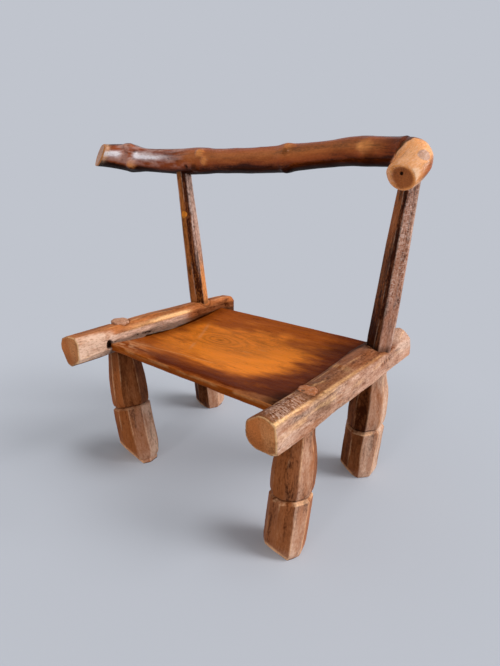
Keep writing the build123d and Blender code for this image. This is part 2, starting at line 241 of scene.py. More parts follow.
def put_in(body, points, rod, marks, material):
    """Makes the closed mesh of a grid that wraps round, with a pole at each end, and its attributes."""
    name = f"{body}_hewn"
    rows, columns = points.shape[:2]
    poles = np.stack([points[0].mean(0), points[-1].mean(0)])
    places = np.vstack([points.reshape(-1, 3), poles]) * MM
    here = np.arange(rows * columns).reshape(rows, columns)
    beside = np.roll(here, -1, axis=1)
    quads = np.stack([here[:-1], beside[:-1], beside[1:], here[1:]], -1).reshape(-1, 4)
    first, last = rows * columns, rows * columns + 1
    low = np.stack([np.full(columns, first), beside[0], here[0]], -1)
    high = np.stack([np.full(columns, last), here[-1], beside[-1]], -1)
    corners = np.concatenate([quads.ravel(), low.ravel(), high.ravel()])
    sizes = np.concatenate([np.full(len(quads), 4), np.full(2 * columns, 3)])
    mesh = bpy.data.meshes.new(name)
    mesh.vertices.add(len(places))
    mesh.vertices.foreach_set("co", places.astype(np.float32).ravel())
    mesh.loops.add(len(corners))
    mesh.loops.foreach_set("vertex_index", corners.astype(np.int32))
    mesh.polygons.add(len(sizes))
    mesh.polygons.foreach_set("loop_start", (np.cumsum(sizes) - sizes).astype(np.int32))
    mesh.polygons.foreach_set("use_smooth", np.ones(len(sizes), bool))
    mesh.update(calc_edges=True)
    if mesh.validate():
        raise RuntimeError(f"{name}: the mesh had faults")
    grain = mesh.attributes.new("grain", "FLOAT_VECTOR", "POINT")
    ends = np.stack([rod[0].mean(0), rod[-1].mean(0)])
    grain.data.foreach_set("vector", (np.vstack([rod.reshape(-1, 3), ends]) * MM).astype(np.float32).ravel())
    for mark in MARKS:
        values = marks.get(mark, np.zeros(points.shape[:2]))
        values = np.concatenate([values.ravel(), [values[0].mean(), values[-1].mean()]])
        held = mesh.attributes.new(mark, "FLOAT", "POINT")
        held.data.foreach_set("value", np.clip(values, 0, 1).astype(np.float32))
    mesh.materials.append(material)
    piece = bpy.data.objects.new(name, mesh)
    bpy.context.scene.collection.objects.link(piece)
    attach(piece, "root")
    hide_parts(body)
    return piece


# ---- shader maths -------------------------------------------------------------------------


class Wire:
    """A shader value that is worked with as a number: + - and * add Math nodes."""

    def __init__(self, recipe, socket):
        self.recipe = recipe
        self.socket = socket

    def maths(self, operation, *others):
        """This value and others through one Math node."""
        inputs = dict(enumerate([self, *others]))
        node = self.recipe.node("ShaderNodeMath", {"operation": operation}, inputs)
        return Wire(self.recipe, node.outputs[0])

    def __add__(self, other):
        return self.maths("ADD", other)

    __radd__ = __add__

    def __mul__(self, other):
        return self.maths("MULTIPLY", other)

    __rmul__ = __mul__

    def __sub__(self, other):
        return self.maths("SUBTRACT", other)

    def __rsub__(self, other):
        return (self * -1) + other

    def most(self, other):
        """The greater of two values."""
        return self.maths("MAXIMUM", other)

    def held(self, low=0.0, high=1.0):
        """The value kept between two numbers."""
        return self.maths("MAXIMUM", low).maths("MINIMUM", high)

    def step(self, low, high):
        """0 below low, 1 above high, smooth between."""
        settings = {"interpolation_type": "SMOOTHSTEP"}
        inputs = {"Value": self, "From Min": low, "From Max": high}
        node = self.recipe.node("ShaderNodeMapRange", settings, inputs)
        return Wire(self.recipe, node.outputs["Result"])


class Tree:
    """A node tree, with a way to add any node."""

    def __init__(self, tree):
        self.tree = tree

    def node(self, kind, settings=None, inputs=None):
        """Adds a node: its settings first, then the values or links of its inputs."""
        node = self.tree.nodes.new(kind)
        for key, value in (settings or {}).items():
            setattr(node, key, value)
        for key, value in (inputs or {}).items():
            self.feed(node.inputs[key], value)
        return node

    def feed(self, socket, value):
        """Links a wire to a socket, or sets a plain value on it."""
        if isinstance(value, Wire):
            self.tree.links.new(value.socket, socket)
        else:
            socket.default_value = value


class Recipe(Tree):
    """A material's node tree, with the few nodes that wood needs."""

    def __init__(self, name):
        self.material = bpy.data.materials.new(name)
        self.material.use_nodes = True
        super().__init__(self.material.node_tree)
        self.shader = self.tree.nodes["Principled BSDF"]

    def mark(self, name):
        """One of the piece's own marks, from 0 to 1."""
        node = self.node("ShaderNodeAttribute", {"attribute_name": name})
        return Wire(self, node.outputs["Fac"])

    def rod(self):
        """The piece's straightened places."""
        node = self.node("ShaderNodeAttribute", {"attribute_name": "grain"})
        return Wire(self, node.outputs["Vector"])

    def stretched(self, vector, by):
        """A vector with each part multiplied by its own number."""
        node = self.node("ShaderNodeVectorMath", {"operation": "MULTIPLY"}, {0: vector, 1: by})
        return Wire(self, node.outputs[0])

    def noise(self, vector, scale, detail=3.0, roughness=0.55, distortion=0.0):
        """Noise from 0 to 1 at a scale in lumps a metre."""
        inputs = {
            "Vector": vector,
            "Scale": scale,
            "Detail": detail,
            "Roughness": roughness,
            "Distortion": distortion,
        }
        node = self.node("ShaderNodeTexNoise", {"noise_dimensions": "3D"}, inputs)
        return Wire(self, node.outputs["Fac"])

    def mix(self, factor, first, second):
        """first where factor is 0 and second where it is 1."""
        node = self.node("ShaderNodeMix", {"data_type": "RGBA"}, {0: factor, 6: first, 7: second})
        return Wire(self, node.outputs[2])


def opaque(colour):
    """A colour with its fourth number."""
    return (*tuple(colour), 1.0)


def wood(name, finish):
    """Old handled wood: long fibres and streaks along the log, and the piece's own marks over them.

    The body colour goes from deep to body to pale with a sum of three noises. Warm is bare orange
    wood, dark is thick patina and painted shade, chalk is pale dust and painted sheen and highlights
    that break up into specks, hatch is scoring across the log, wear is a polished arris and painted
    highlights, and grime fills the hollows and also paints shade in grooves, recesses and undersides.
    """
    recipe = Recipe(name)
    rod = recipe.rod()
    wear_and_highlight, grime, chalk, warm, dark, hatch = (recipe.mark(mark) for mark in MARKS)
    fibre = recipe.noise(recipe.stretched(rod, (1, 1, 0.06)), 1 / finish.fibre, 3.0, 0.6)
    streak = recipe.noise(recipe.stretched(rod, (1, 1, 0.1)), 0.16 / finish.fibre, 3.0, 0.6, 0.3)
    cloud = recipe.noise(recipe.stretched(rod, (1, 1, 0.5)), 40.0, 3.0, 0.6)
    speck = recipe.noise(recipe.stretched(rod, (1, 1, 0.5)), 480.0, 2.0, 0.6)
    pore = recipe.noise(recipe.stretched(rod, (1, 1, 0.2)), 760.0, 1.0, 0.5)
    crack = recipe.noise(recipe.stretched(rod, (1, 1, 0.03)), 240.0, 2.0, 0.5)
    score = recipe.noise(recipe.stretched(rod, (0.3, 0.3, 1)), 700.0, 2.0, 0.6)
    fine = ((fibre - 0.5) * 0.8 + (speck - 0.5) * 0.7) * finish.contrast
    tone = fine + ((streak - 0.5) * 1.2 + (cloud - 0.5) * 1.0) * finish.contrast + 0.5
    low = recipe.mix(tone.step(0.12, 0.5), opaque(finish.deep), opaque(finish.body))
    colour = recipe.mix(tone.step(0.5, 0.92), low, opaque(finish.pale))
    colour = recipe.mix((warm * (1.0 + fine * 1.5 + (cloud - 0.5))).held(), colour, opaque(finish.warm))
    colour = recipe.mix((dark * (1.0 - fine * 1.4 - (cloud - 0.5))).held(), colour, opaque(finish.deep))
    mottle = 1.0 + ((speck - 0.5) * 1.8 + (streak - 0.5) * 0.9) * finish.contrast + fine * 0.5
    colour = recipe.mix((chalk * mottle).held(0.0, 0.95), colour, opaque(finish.chalk))
    colour = recipe.mix((wear_and_highlight * mottle).held(0.0, 0.95), colour, opaque(finish.worn))
    scored = hatch * (score.step(0.46, 0.62) * 0.5 + (speck - 0.5) * 0.8)
    colour = recipe.mix(scored.held(), colour, opaque(finish.chalk))
    split = (1 - crack.step(0.27, 0.33)) * finish.cracks
    pits = (1 - pore.step(0.25, 0.36)) * finish.pores
    filled = (grime * (1.0 + (speck - 0.5) * 1.4) + split + pits).held()
    colour = recipe.mix(filled, colour, opaque(finish.grime))
    matt = finish.roughness + (speck - 0.5) * 0.25 + chalk * 0.25 + grime * 0.2
    height = fibre * 0.5 + speck * 0.5 + streak * 0.4 + hatch * score * 0.8 - split * 0.8 - pits * 0.6
    bump = recipe.node("ShaderNodeBump", {}, {"Strength": finish.relief, "Distance": 0.001, "Height": height})
    matt = matt.held(0.18, 0.95)
    coat = (1 - grime * 1.3 - dark * 0.3 - warm - chalk) * finish.varnish
    made = {
        "Base Color": colour,
        "Roughness": matt,
        "Normal": Wire(recipe, bump.outputs[0]),
        "Coat Weight": coat.held(),
        "Coat Roughness": finish.roughness * 0.6,
        "Specular IOR Level": finish.shine,
        "Specular Tint": opaque(finish.gleam),
    }
    for socket, value in made.items():
        recipe.feed(recipe.shader.inputs[socket], value)
    return recipe.material


# ---- what a user may change ---------------------------------------------------------------


def tone(name, description, *rgb):
    """A colour property, its default written as a painter would."""
    return bpy.props.FloatVectorProperty(
        name=name, description=description, subtype="COLOR", size=3, min=0, max=1, default=paint(*rgb)
    )


def share(name, description, default, low=0.0, high=1.0):
    """A plain number property."""
    return bpy.props.FloatProperty(name=name, description=description, default=default, min=low, max=high)


def size(name, description, millimetres):
    """A length property."""
    return bpy.props.FloatProperty(
        name=name, description=description, unit="LENGTH", precision=4, min=0.0001, default=millimetres * MM
    )


def finish(
    deep, body, pale, chalk, warm, worn, grime, gleam,
    fibre, roughness, relief, contrast, cracks, pores, shine, varnish,
):  # fmt: skip
    """The properties of one wood finish, for a PropertyGroup's annotations."""
    return {
        # The deep and dirt colours also serve painted shade; the dust and rubbed-arris colours also serve
        # painted sheen and highlights.
        "deep": tone("Deep", "Thick patina and dark streaks", *deep),
        "body": tone("Body", "Main colour of the wood", *body),
        "pale": tone("Pale", "Light streaks of the wood", *pale),
        "chalk": tone("Chalk", "Pale dust and weathering", *chalk),
        "warm": tone("Warm", "Bare wood under the patina", *warm),
        "worn": tone("Worn", "Rubbed arrises", *worn),
        "grime": tone("Grime", "Dirt in hollows and cracks", *grime),
        "fibre": size("Fibre", "Width of one fibre", fibre),
        "roughness": share("Roughness", "How matt the wood is", roughness),
        "relief": share("Relief", "Strength of the fibres' relief", relief),
        "contrast": share("Contrast", "How strongly fibres and streaks differ in colour", contrast, 0, 2),
        "cracks": share("Cracks", "How strongly drying cracks show", cracks),
        "pores": share("Pores", "How strongly open pores show", pores),
        "shine": share("Shine", "Strength of the polish", shine),
        "varnish": share("Varnish", "Strength of the glossy coat, which hollows lack", varnish),
        "gleam": tone("Gleam", "Colour that the polish gives to what it mirrors", *gleam),
    }


class SeatFinish(bpy.types.PropertyGroup):
    """The seat board's wood."""

    __annotations__ = finish(
        deep=(92, 33, 3), body=(160, 78, 20), pale=(186, 100, 34), chalk=(206, 150, 108),
        warm=(240, 135, 42), worn=(232, 170, 112), grime=(40, 16, 4), gleam=(255, 170, 90),
        fibre=1.1, roughness=0.42, relief=0.35, contrast=0.7,
        cracks=0.05, pores=0.3, shine=0.03, varnish=0.0,
    )  # fmt: skip


class RailFinish(bpy.types.PropertyGroup):
    """The rails' wood."""

    __annotations__ = finish(
        deep=(76, 33, 11), body=(152, 88, 50), pale=(182, 120, 84), chalk=(220, 186, 166),
        warm=(206, 121, 64), worn=(255, 202, 144), grime=(34, 16, 8), gleam=(255, 205, 160),
        fibre=1.0, roughness=0.5, relief=0.5, contrast=1.0,
        cracks=0.2, pores=0.25, shine=0.05, varnish=0.0,
    )  # fmt: skip


class LegFinish(bpy.types.PropertyGroup):
    """The legs' wood."""

    __annotations__ = finish(
        deep=(66, 26, 6), body=(160, 94, 54), pale=(176, 116, 78), chalk=(222, 186, 162),
        warm=(196, 108, 52), worn=(248, 194, 148), grime=(26, 12, 6), gleam=(255, 205, 160),
        fibre=1.0, roughness=0.5, relief=0.45, contrast=0.9,
        cracks=0.08, pores=0.2, shine=0.05, varnish=0.0,
    )  # fmt: skip


class PostFinish(bpy.types.PropertyGroup):
    """The posts' wood."""

    __annotations__ = finish(
        deep=(52, 18, 4), body=(146, 80, 44), pale=(166, 104, 68), chalk=(226, 196, 182),
        warm=(232, 140, 48), worn=(240, 206, 180), grime=(28, 12, 6), gleam=(255, 215, 190),
        fibre=0.9, roughness=0.36, relief=0.35, contrast=1.4,
        cracks=0.1, pores=0.3, shine=0.06, varnish=0.08,
    )  # fmt: skip


class CrestFinish(bpy.types.PropertyGroup):
    """The branch's wood."""

    # The chalk colour is near white because it mostly paints the highlight on the branch's left part.
    __annotations__ = finish(
        deep=(64, 23, 5), body=(158, 71, 22), pale=(180, 92, 34), chalk=(255, 246, 248),
        warm=(255, 170, 98), worn=(255, 216, 178), grime=(22, 9, 4), gleam=(255, 225, 205),
        fibre=1.6, roughness=0.26, relief=0.2, contrast=0.65,
        cracks=0.1, pores=0.2, shine=0.05, varnish=0.3,
    )  # fmt: skip


class StageSettings(bpy.types.PropertyGroup):
    """The floor, the light and the backdrop."""

    backdrop: tone("Backdrop", "Floor and background", 192, 196, 205)
    sky_share: share("Sky", "Share of the floor's light that comes from all round", 0.27)
    shadow: share("Shadow", "How strongly the floor shows the shadow", 0.6)


# ---- legs ---------------------------------------------------------------------------------

LEG_LENGTH = 162.0
LEG_SPACING, LEG_COLUMNS = 0.85, 184
# A leg has eight flats, and the first again as ninth to close the round.
LEG_FLATS = 9
LEG_SHARPNESS, TENON_SHARPNESS = 110, 30
# The radius at which the noise round a leg is read.
NOISE_RADIUS = 20
# For each leg: its axis; its radius in the lower and upper half; the height, tilt, width and bright
# rim of its groove, a rubbed edge with a painted highlight; its tenon's radius and dust; the two
# halves' facings of the flats; its head's taper; and the first flats' tints in turn, as shares of dark,
# warm and chalk, lower half then upper. The tints are partly painted light: dark as painted shade on
# the flats that face away from the light or lie in the seat's shadow, chalk as a painted sheen on the
# flats that face the light.
LEGS = {
    "front_left_leg": {
        "line": [
            (-31.7, -91.1, -9), (-34.2, -90.9, 0), (-43.8, -90.2, 34), (-56.8, -89.1, 80), (-65.8, -88.6, 128),
            (-71.5, -88.5, 162), (-75, -88.5, 176), (-75, -88.5, 190), (-75, -88.5, 204.6),
        ],
        "lower": 25.9, "upper": 25.2, "groove": 78.0, "tilt": (0.1, 0.0), "notch": 0.42, "rim": 0.3,
        "tenon": 12.1, "peg": 0.34, "seed": 11,
        "facing": (
            [-70, -27, 9, 50, 94, 138, 182, 224, 258],
            [-80, -33, 20, 60, 100, 140, 180, 220, 256],
        ),
        "head": [(100, 1), (120, 0.965), (132, 0.92), (148, 0.84), (162, 0.78)],
        "tints_and_shading": (
            [(0.22, 0.4, 0.0), (0.1, 0.1, 0.2), (0.0, 0.1, 1.0), (0.0, 0.1, 0.6)],
            [(0.15, 0.45, 0.0), (0.62, 0.1, 0.0), (0.55, 0.2, 0.04), (0.1, 0.1, 0.4)],
        ),
    },
    "front_right_leg": {
        "line": [
            (231.1, -107.5, -4), (231.2, -107, 0), (231.4, -102.2, 40), (231.4, -97.8, 80), (231.4, -93.4, 125),
            (232.5, -89.8, 162), (235.5, -88.5, 178), (235.5, -88.5, 190), (235.5, -88.5, 198.8),
        ],
        "lower": 23.6, "upper": 23.7, "groove": 73.0, "tilt": (0.12, 0.06), "notch": 0.55, "rim": 0.7,
        "tenon": 10.4, "peg": 0.05, "seed": 23,
        "facing": (
            [-104, -64, -24, 16, 58, 100, 144, 186, 222],
            [-97, -60, -26, 16, 58, 102, 146, 190, 227],
        ),
        "head": [(98, 1), (110, 0.975), (120, 0.92), (132, 0.83), (144, 0.7), (162, 0.6)],
        "tints_and_shading": (
            [(0.25, 0.25, 0.05), (0.34, 0.2, 0.02), (0.0, 0.05, 0.5), (0.25, 0.4, 0.1)],
            [(0.3, 0.25, 0.0), (0.34, 0.12, 0.05), (0.0, 0.05, 0.4), (0.62, 0.15, 0.05)],
        ),
    },
    "back_left_leg": {
        "line": [
            (-74.1, 103, -4), (-74.1, 102.4, 0), (-73.8, 96.9, 40), (-73.7, 91.2, 80), (-73.6, 85, 125),
            (-73.5, 79.5, 162), (-73.5, 79.5, 170), (-73.5, 79.5, 176),
        ],
        "lower": 24.4, "upper": 23.8, "groove": 82.0, "tilt": (0.05, 0.0), "notch": 0.8, "rim": 0.6,
        "tenon": 10.0, "peg": 0.1, "seed": 37,
        "facing": (
            [-75, -30, 12, 52, 92, 132, 172, 212, 248],
            [-80, -34, 10, 52, 92, 132, 172, 212, 248],
        ),
        "head": [(108, 1), (120, 0.98), (140, 0.9), (162, 0.76)],
        "tints_and_shading": (
            [(0.85, 0.15, 0.0), (0.0, 0.1, 0.6), (0.0, 0.1, 0.5), (0.1, 0.1, 0.4)],
            [(0.85, 0.1, 0.0), (0.3, 0.1, 0.2), (0.1, 0.1, 0.4), (0.1, 0.1, 0.4)],
        ),
    },
    "back_right_leg": {
        "line": [
            (225.8, 94.4, -4), (226, 94, 0), (228.3, 90.3, 40), (230.8, 86.7, 80), (233.6, 83.2, 125),
            (235.7, 79.5, 162), (235.7, 79.5, 170), (235.7, 79.5, 176),
        ],
        "lower": 25.1, "upper": 24.5, "groove": 82.0, "tilt": (0.1, 0.1), "notch": 0.6, "rim": 0.7,
        "tenon": 10.0, "peg": 0.1, "seed": 51,
        "facing": (
            [-84, -42, 2, 44, 84, 124, 162, 202, 240],
            [-82, -42, 0, 40, 80, 120, 160, 200, 240],
        ),
        "head": [(108, 1), (120, 0.985), (132, 0.95), (144, 0.87), (156, 0.76), (162, 0.7)],
        "tints_and_shading": (
            [(0.5, 0.2, 0.0), (0.0, 0.15, 0.68), (0.0, 0.05, 0.85), (0.0, 0.1, 0.6)],
            [(0.95, 0.1, 0.0), (0.0, 0.3, 0.55), (0.0, 0.05, 0.8), (0.0, 0.1, 0.6)],
        ),
    },
}  # fmt: skip
# The other flats' tint: dark, warm and chalk, partly painted shade and sheen like those above.
OTHER_TINT_AND_SHADING = (0.12, 0.15, 0.3)
# Share of the radius by height over the groove's middle, and above the floor.
GROOVE = [
    (-14, 1), (-7.4, 1.0), (-6.2, 0.98), (-1.5, 0.85), (0, 0.83), (1.4, 0.86), (2.8, 0.925), (6, 0.955),
    (12, 0.98), (20, 0.995), (28, 1),
]  # fmt: skip
FOOT = [(0, 0.8), (3, 0.9), (7, 0.965), (15, 1.0)]
# Rim and dome of a leg's sole, of a tenon that comes through its rail, and of a blind one.
SOLE_END, THROUGH_END, BLIND_END = (1.0, 0.2), (2.4, 1.4), (1.0, 0.4)
# Below this height a row may be cut by the worn bevel and the floor.
CUT_BELOW = 60
BEVEL_SOFTNESS, SOLE_SOFTNESS = 1.1, 0.3
# Each sole's worn bevel: a place on it and the way it faces.
BEVELS = {
    "front_left_leg": ((-28.0, -112.6, 13.8), (-0.2, -0.745, -0.64)),
    "front_right_leg": ((229.2, -129, 13), (-0.133, -0.727, -0.671)),
    "back_left_leg": ((-74, 81, 3), (-0.3, -0.6, -0.75)),
    "back_right_leg": ((221.3, 71.8, 6.2), (-0.457, -0.59, -0.667)),
}
# How far apart in the noise the lines of wander of two flats lie.
WANDER_STEP = 97.0


def by_height(height, number, seed, swing):
    """Smooth wander along a stick, one line of it for each flat; swing is the length of one bend."""
    places = np.stack([height, 0 * height, 0 * height], -1)
    lines = [lumps(places + WANDER_STEP * k, (swing, 1, 1), seed + k) for k in range(number)]
    return np.stack(lines, -1)


def leg(name, material):
    """A hewn leg: eight flats that wander, a V cut round it, a barrel above, a worn sole, a round tenon.

    The flats' distance from the axis is the half's radius times the foot's, groove's and head's
    shares at that height, which gives way to the tenon's radius inside the rail.
    """
    form = LEGS[name]
    seed = form["seed"]
    through = name.startswith("front")
    head_end = THROUGH_END if through else BLIND_END
    bar = Bar(form["line"], LEG_SPACING, LEG_COLUMNS, SOLE_END, head_end, (0, 1, 0), form["tenon"])
    height = np.broadcast_to(bar.centre[:, 2][:, None], bar.angle.shape)
    ring = np.stack([np.cos(bar.angle) * NOISE_RADIUS, np.sin(bar.angle) * NOISE_RADIUS, height], -1)
    lean = form["tilt"][0] * ring[..., 0] + form["tilt"][1] * ring[..., 1]
    waver = 0.9 * lumps(ring * np.array([1, 1, 0]), (16, 16, 1), seed + 7)
    over = height - form["groove"] - lean - waver
    raised = smooth(over, -2.5, 1.5)[..., None]
    low_facing, high_facing = (np.array(facing, float) for facing in form["facing"])
    facing = low_facing * (1 - raised) + high_facing * raised
    distance = form["lower"] * (1 - raised) + form["upper"] * raised
    distance = distance + 0.5 * by_height(height, LEG_FLATS, seed, 50)
    distance = distance + 0.18 * by_height(height, LEG_FLATS, seed + 60, 14)
    flats, arris, nearest = carved(bar.angle, facing, distance, LEG_SHARPNESS)
    over = over / form["notch"]
    shape = read(FOOT, height) * read(form["head"], height) * read(GROOVE, over)
    into_tenon = smooth(height, LEG_LENGTH + 3, LEG_LENGTH + 8)
    tenon, _, _ = carved(bar.angle, np.arange(8) * 45 + 12, form["tenon"] * 0.99, TENON_SHARPNESS)
    tenon = tenon + 0.9 * lumps(ring, (9, 9, 12), seed + 43)
    radius = flats * shape * (1 - into_tenon) + tenon * into_tenon
    rod = bar.rod(radius)
    radius = radius + 0.22 * rough(rod, (8, 8, 34), seed + 9) + 0.14 * lumps(rod, (2.4, 2.4, 9), seed + 10)
    radius = radius - 0.9 * patches(ring, (6, 6, 9), seed + 12, 0.7, 1.1) * arris
    points = bar.points(radius)
    low_rows = height < CUT_BELOW
    points, past = bar.cut(points, *BEVELS[name], BEVEL_SOFTNESS, low_rows)
    sole = smooth(past, -3.4, -0.6)
    points, _ = bar.cut(points, (0, 0, 0), (0, 0, -1), SOLE_SOFTNESS, low_rows)
    if through:
        peak = smooth(height, 197, 200) * smooth(bar.inside, 1.02, 0.6)
        sawn = smooth(height, 196, 199) * (0.9 + 0.9 * lumps(points, (5, 5, 50), seed + 41))
        points[..., 2] -= sawn + 0.6 * peak
    below = smooth(over, -6.9, -5.9) * smooth(over, -1.2, -2.4)
    rim = bell(over, -7.0, 0.9)
    groove_shade = bell(over, 0.4, 1.5)
    low, high = (
        np.array([*tints_and_shading, *[OTHER_TINT_AND_SHADING] * (LEG_FLATS - 1 - len(tints_and_shading)), tints_and_shading[0]]) for tints_and_shading in form["tints_and_shading"]
    )
    tints_and_shading = (nearest @ low) * (1 - raised) + (nearest @ high) * raised
    skin = (1 - into_tenon) * (0.8 + 0.5 * rough(rod, (9, 9, 34), seed + 18))
    blotch = patches(rod, (7, 7, 40), seed + 16, 0.3, 1.1)
    near_sole = smooth(points[..., 2] + 14 * sole, 7.5, 1.0)
    rubbed = 0.45 * arris * (1 - into_tenon) * patches(rod, (8, 8, 24), seed + 14, -0.3, 0.6)
    cut_edge = form["rim"] * (0.7 * below + rim) * patches(ring, (9, 9, 9), seed + 15, -0.6, 0.4)
    shaded_head = 0.3 * smooth(height, 146, 160) * (1 - into_tenon)
    # Painted shade: the groove's inside is darkened, and so is the head under its rail. The groove's bright rim
    # is a rubbed edge with a painted highlight, and the flats' tints paint shade and sheen. The lowest 1.6 mm
    # are darker.
    marks = {
        "wear_and_highlight": rubbed + cut_edge + 0.6 * sole,
        "grime": 0.95 * groove_shade + 0.22 * blotch * tints_and_shading[..., 0] + 0.9 * smooth(points[..., 2], 1.6, 0.2),
        "chalk": tints_and_shading[..., 2] * skin + 0.1 * smooth(height, 20, 6) + form["peg"] * into_tenon,
        "hatch": 0.5 * into_tenon,
        "warm": tints_and_shading[..., 1] * skin + 0.3 * near_sole + 0.35 * sole + 0.3 * into_tenon,
        "dark": tints_and_shading[..., 0] * skin * (1 - 0.5 * near_sole) + 0.05 * into_tenon + shaded_head,
    }
    piece = put_in(name, points, rod, marks, material)


# ---- rails --------------------------------------------------------------------------------

RAIL_SPACING, RAIL_COLUMNS, RAIL_SHARPNESS = 1.0, 190, 120
# How far the right rail's inner side bulges, by Y.
RIGHT_BULGE = [
    (-170, 0), (-140, 0), (-95, 0.6), (-45, 1.6), (6, 3.6), (48, 6.6), (90, 8.0), (130, 6), (171, 0),
]  # fmt: skip
# For each rail: its middle and ends; its flats, as degrees from +X to +Z and distance from the
# middle; how far some flats stand out along it, as flat, strength and a table over Y; where some
# flare, as flats, amount and the Y where that begins and is full; the radius and the back end's
# rim by which its ends are rounded; and the rings pressed round what stands in it, as place,
# radius and strength.
RAILS = {
    "left_rail": {
        "x": -71.9, "z": 180.2, "front": -171.5, "back": 141.0, "seed": 71,
        "flats": [
            (2, 19.7), (48, 22.6), (94, 18.9), (116, 18.9), (157, 21.1), (184, 21.0), (214, 19.2), (254, 18.3),
            (275, 18.5), (299, 20.3), (330, 22.0),
        ],
        "along": [
            (0, 1, [(-171, 0.2), (-121, -0.6), (-88, -2.0), (-52, -4.0), (90, -4.4), (141, -3.0)]),
            (1, 1, [(-171, 0.4), (-121, -1.6), (-88, -2.6), (-52, -3.6), (90, -4.0), (141, -3.6)]),
            (2, 1, [(-171, -0.2), (-140, -0.2), (-34, 2.0), (60, 0.9), (141, -0.8)]),
            (3, 1, [(-171, -0.4), (-140, 0.0), (-34, 2.6), (60, 1.4), (141, -0.6)]),
            (10, 1, [(-171, 0.0), (-121, -2.0), (-52, -3.4), (141, -3.6)]),
        ],
        "flares": [((7, 8), 4.4, -110, -130), ((0, 1, 10), 5.0, 112, 124)],
        "radius": 20.0, "back_rim": 7.0,
        "rings": [((-75.0, -88.5), 13.0, 1.0), ((-73.3, 75.5), 14.6, 1.0)],
    },
    "right_rail": {
        "x": 236.4, "z": 179.0, "front": -169.5, "back": 171.0, "seed": 83,
        "flats": [
            (176.5, 17.9), (150, 17.9), (127, 17.8), (94, 18.3), (71, 18.2), (47.6, 18.6), (12, 18.0),
            (3, 17.9), (-65, 22.4), (-90, 18.9), (-115, 18.3), (-142, 19.0), (-171, 18.2),
        ],
        "along": [
            (0, 1, RIGHT_BULGE),
            (1, 1.35, RIGHT_BULGE),
            (2, 1.3, RIGHT_BULGE),
            (5, 1, [(-170, 0.6), (-150, 0.4), (-126, 0.3), (40, 1.2), (120, 0.6), (171, -0.4)]),
            (8, 1, [(-170, -0.6), (-147, 0.2), (-103, 0.8), (-70, -0.5), (-52, -1.9), (38, -2.0), (74, -3.6),
                    (107, -4.6), (171, -5.6)]),
            (9, -1, [(-170, 0), (-80, 0.2), (60, 1.4), (171, 4.0)]),
        ],
        "flares": [
            ((0, 1, 10, 11, 12), 2.0, -135, -160), ((4,), -1.6, -140, -124),
            ((3, 4), 7.5, 98, 165), ((5,), 2.5, 98, 165), ((2,), 3.0, 98, 165),
        ],
        "radius": 18.5, "back_rim": 11.0,
        "rings": [((235.5, -88.5), 11.0, 0.6), ((235.6, 88.5), 15.4, 1.0)],
    },
}  # fmt: skip
# Short cracks in the right rail's outer face.
RIGHT_CRACKS = [(253.5, 62, 184), (253.5, 69, 184), (253.5, 75, 186), (253.5, 85, 185)]
RAIL_BACK_DOME = 2.6
RAIL_FRONT_END = (1.4, 0.9)


def rail(name, material):
    """A hewn log from back to front: flats at measured distances, each with its own slow wander.

    The bar runs towards -Y with up along +Z, so its angle reads from +X to +Z.
    """
    form = RAILS[name]
    x, z, front, back, seed = (form[key] for key in ("x", "z", "front", "back", "seed"))
    line = [(x, back - (back - front) * k / 6, z) for k in range(7)]
    back_end = (form["back_rim"], RAIL_BACK_DOME)
    bar = Bar(line, RAIL_SPACING, RAIL_COLUMNS, back_end, RAIL_FRONT_END, (0, 0, 1), form["radius"])
    y = np.broadcast_to(bar.centre[:, 1][:, None], bar.angle.shape)
    facing, distance = np.array(form["flats"]).T
    reach = np.broadcast_to(distance, (*y.shape, len(facing))).copy()
    for flat, strength, table in form["along"]:
        reach[..., flat] += strength * read(table, y)
    for flats, amount, begins, full in form["flares"]:
        reach[..., flats] += (amount * smooth(y, begins, full))[..., None]
    drift = 0.45 * by_height(y, len(facing), seed, 70) + 0.16 * by_height(y, len(facing), seed + 40, 15)
    radius, arris, _ = carved(bar.angle, facing, reach + drift, RAIL_SHARPNESS)
    rod = bar.rod(radius)
    radius = radius + 0.22 * rough(rod, (8, 8, 40), seed + 9) + 0.14 * lumps(rod, (2.2, 2.2, 9), seed + 10)
    chips = patches(bar.points(radius), (6, 8, 6), seed + 12, 0.45, 0.95)
    cap = 1 - smooth(bar.inside, 0.9, 0.955)
    side = 1 - cap
    radius = radius - 0.9 * side * arris * chips
    points = bar.points(radius)
    skin = left_rail_skin if name == "left_rail" else right_rail_skin
    marks = {key: value * side for key, value in skin(points, rod, arris, form).items()}
    # The sawn front face, with its year rings and its rubbed edge. The face is painted lighter on its lit side
    # and darker towards its bottom, painted light and shade, and the edge carries a painted highlight on its
    # lit side.
    face = cap * (points[..., 1] < 0)
    heart = np.hypot(rod[..., 0] + 2, rod[..., 1] - 1)
    rings = 0.5 + 0.5 * np.sin(heart * 2.3 + 1.6 * lumps(points, 9, seed + 50))
    lit = smooth(np.cos(bar.angle - math.radians(20)), -0.6, 0.9)
    edge = bell(bar.inside, 0.945, 0.03) * (points[..., 1] < 0)
    lit_edge = smooth(np.cos(bar.angle - math.radians(28)), -0.1, 0.7)
    marks["warm"] += face * (0.8 + 0.15 * rings)
    marks["wear_and_highlight"] += 0.16 * face * lit + edge * (0.35 + 0.6 * lit_edge)
    marks["dark"] += cap * (0.05 + 0.16 * smooth(lumps(points, 8, seed + 51), 0, 1))
    marks["dark"] += face * 0.3 * smooth(points[..., 2], 180, 164)
    piece = put_in(name, points, rod, marks, material)


def pressed_rings(points, form, top):
    """Presses a narrow ring into the top round each thing that stands in it, and gives their depth."""
    total = 0
    for (x, y), radius, strength in form["rings"]:
        away = np.hypot(points[..., 0] - x, points[..., 1] - y)
        pressed = bell(away, radius, 1.2) * (strength * top)
        points[..., 2] -= 1.1 * pressed
        total = total + pressed
    return total


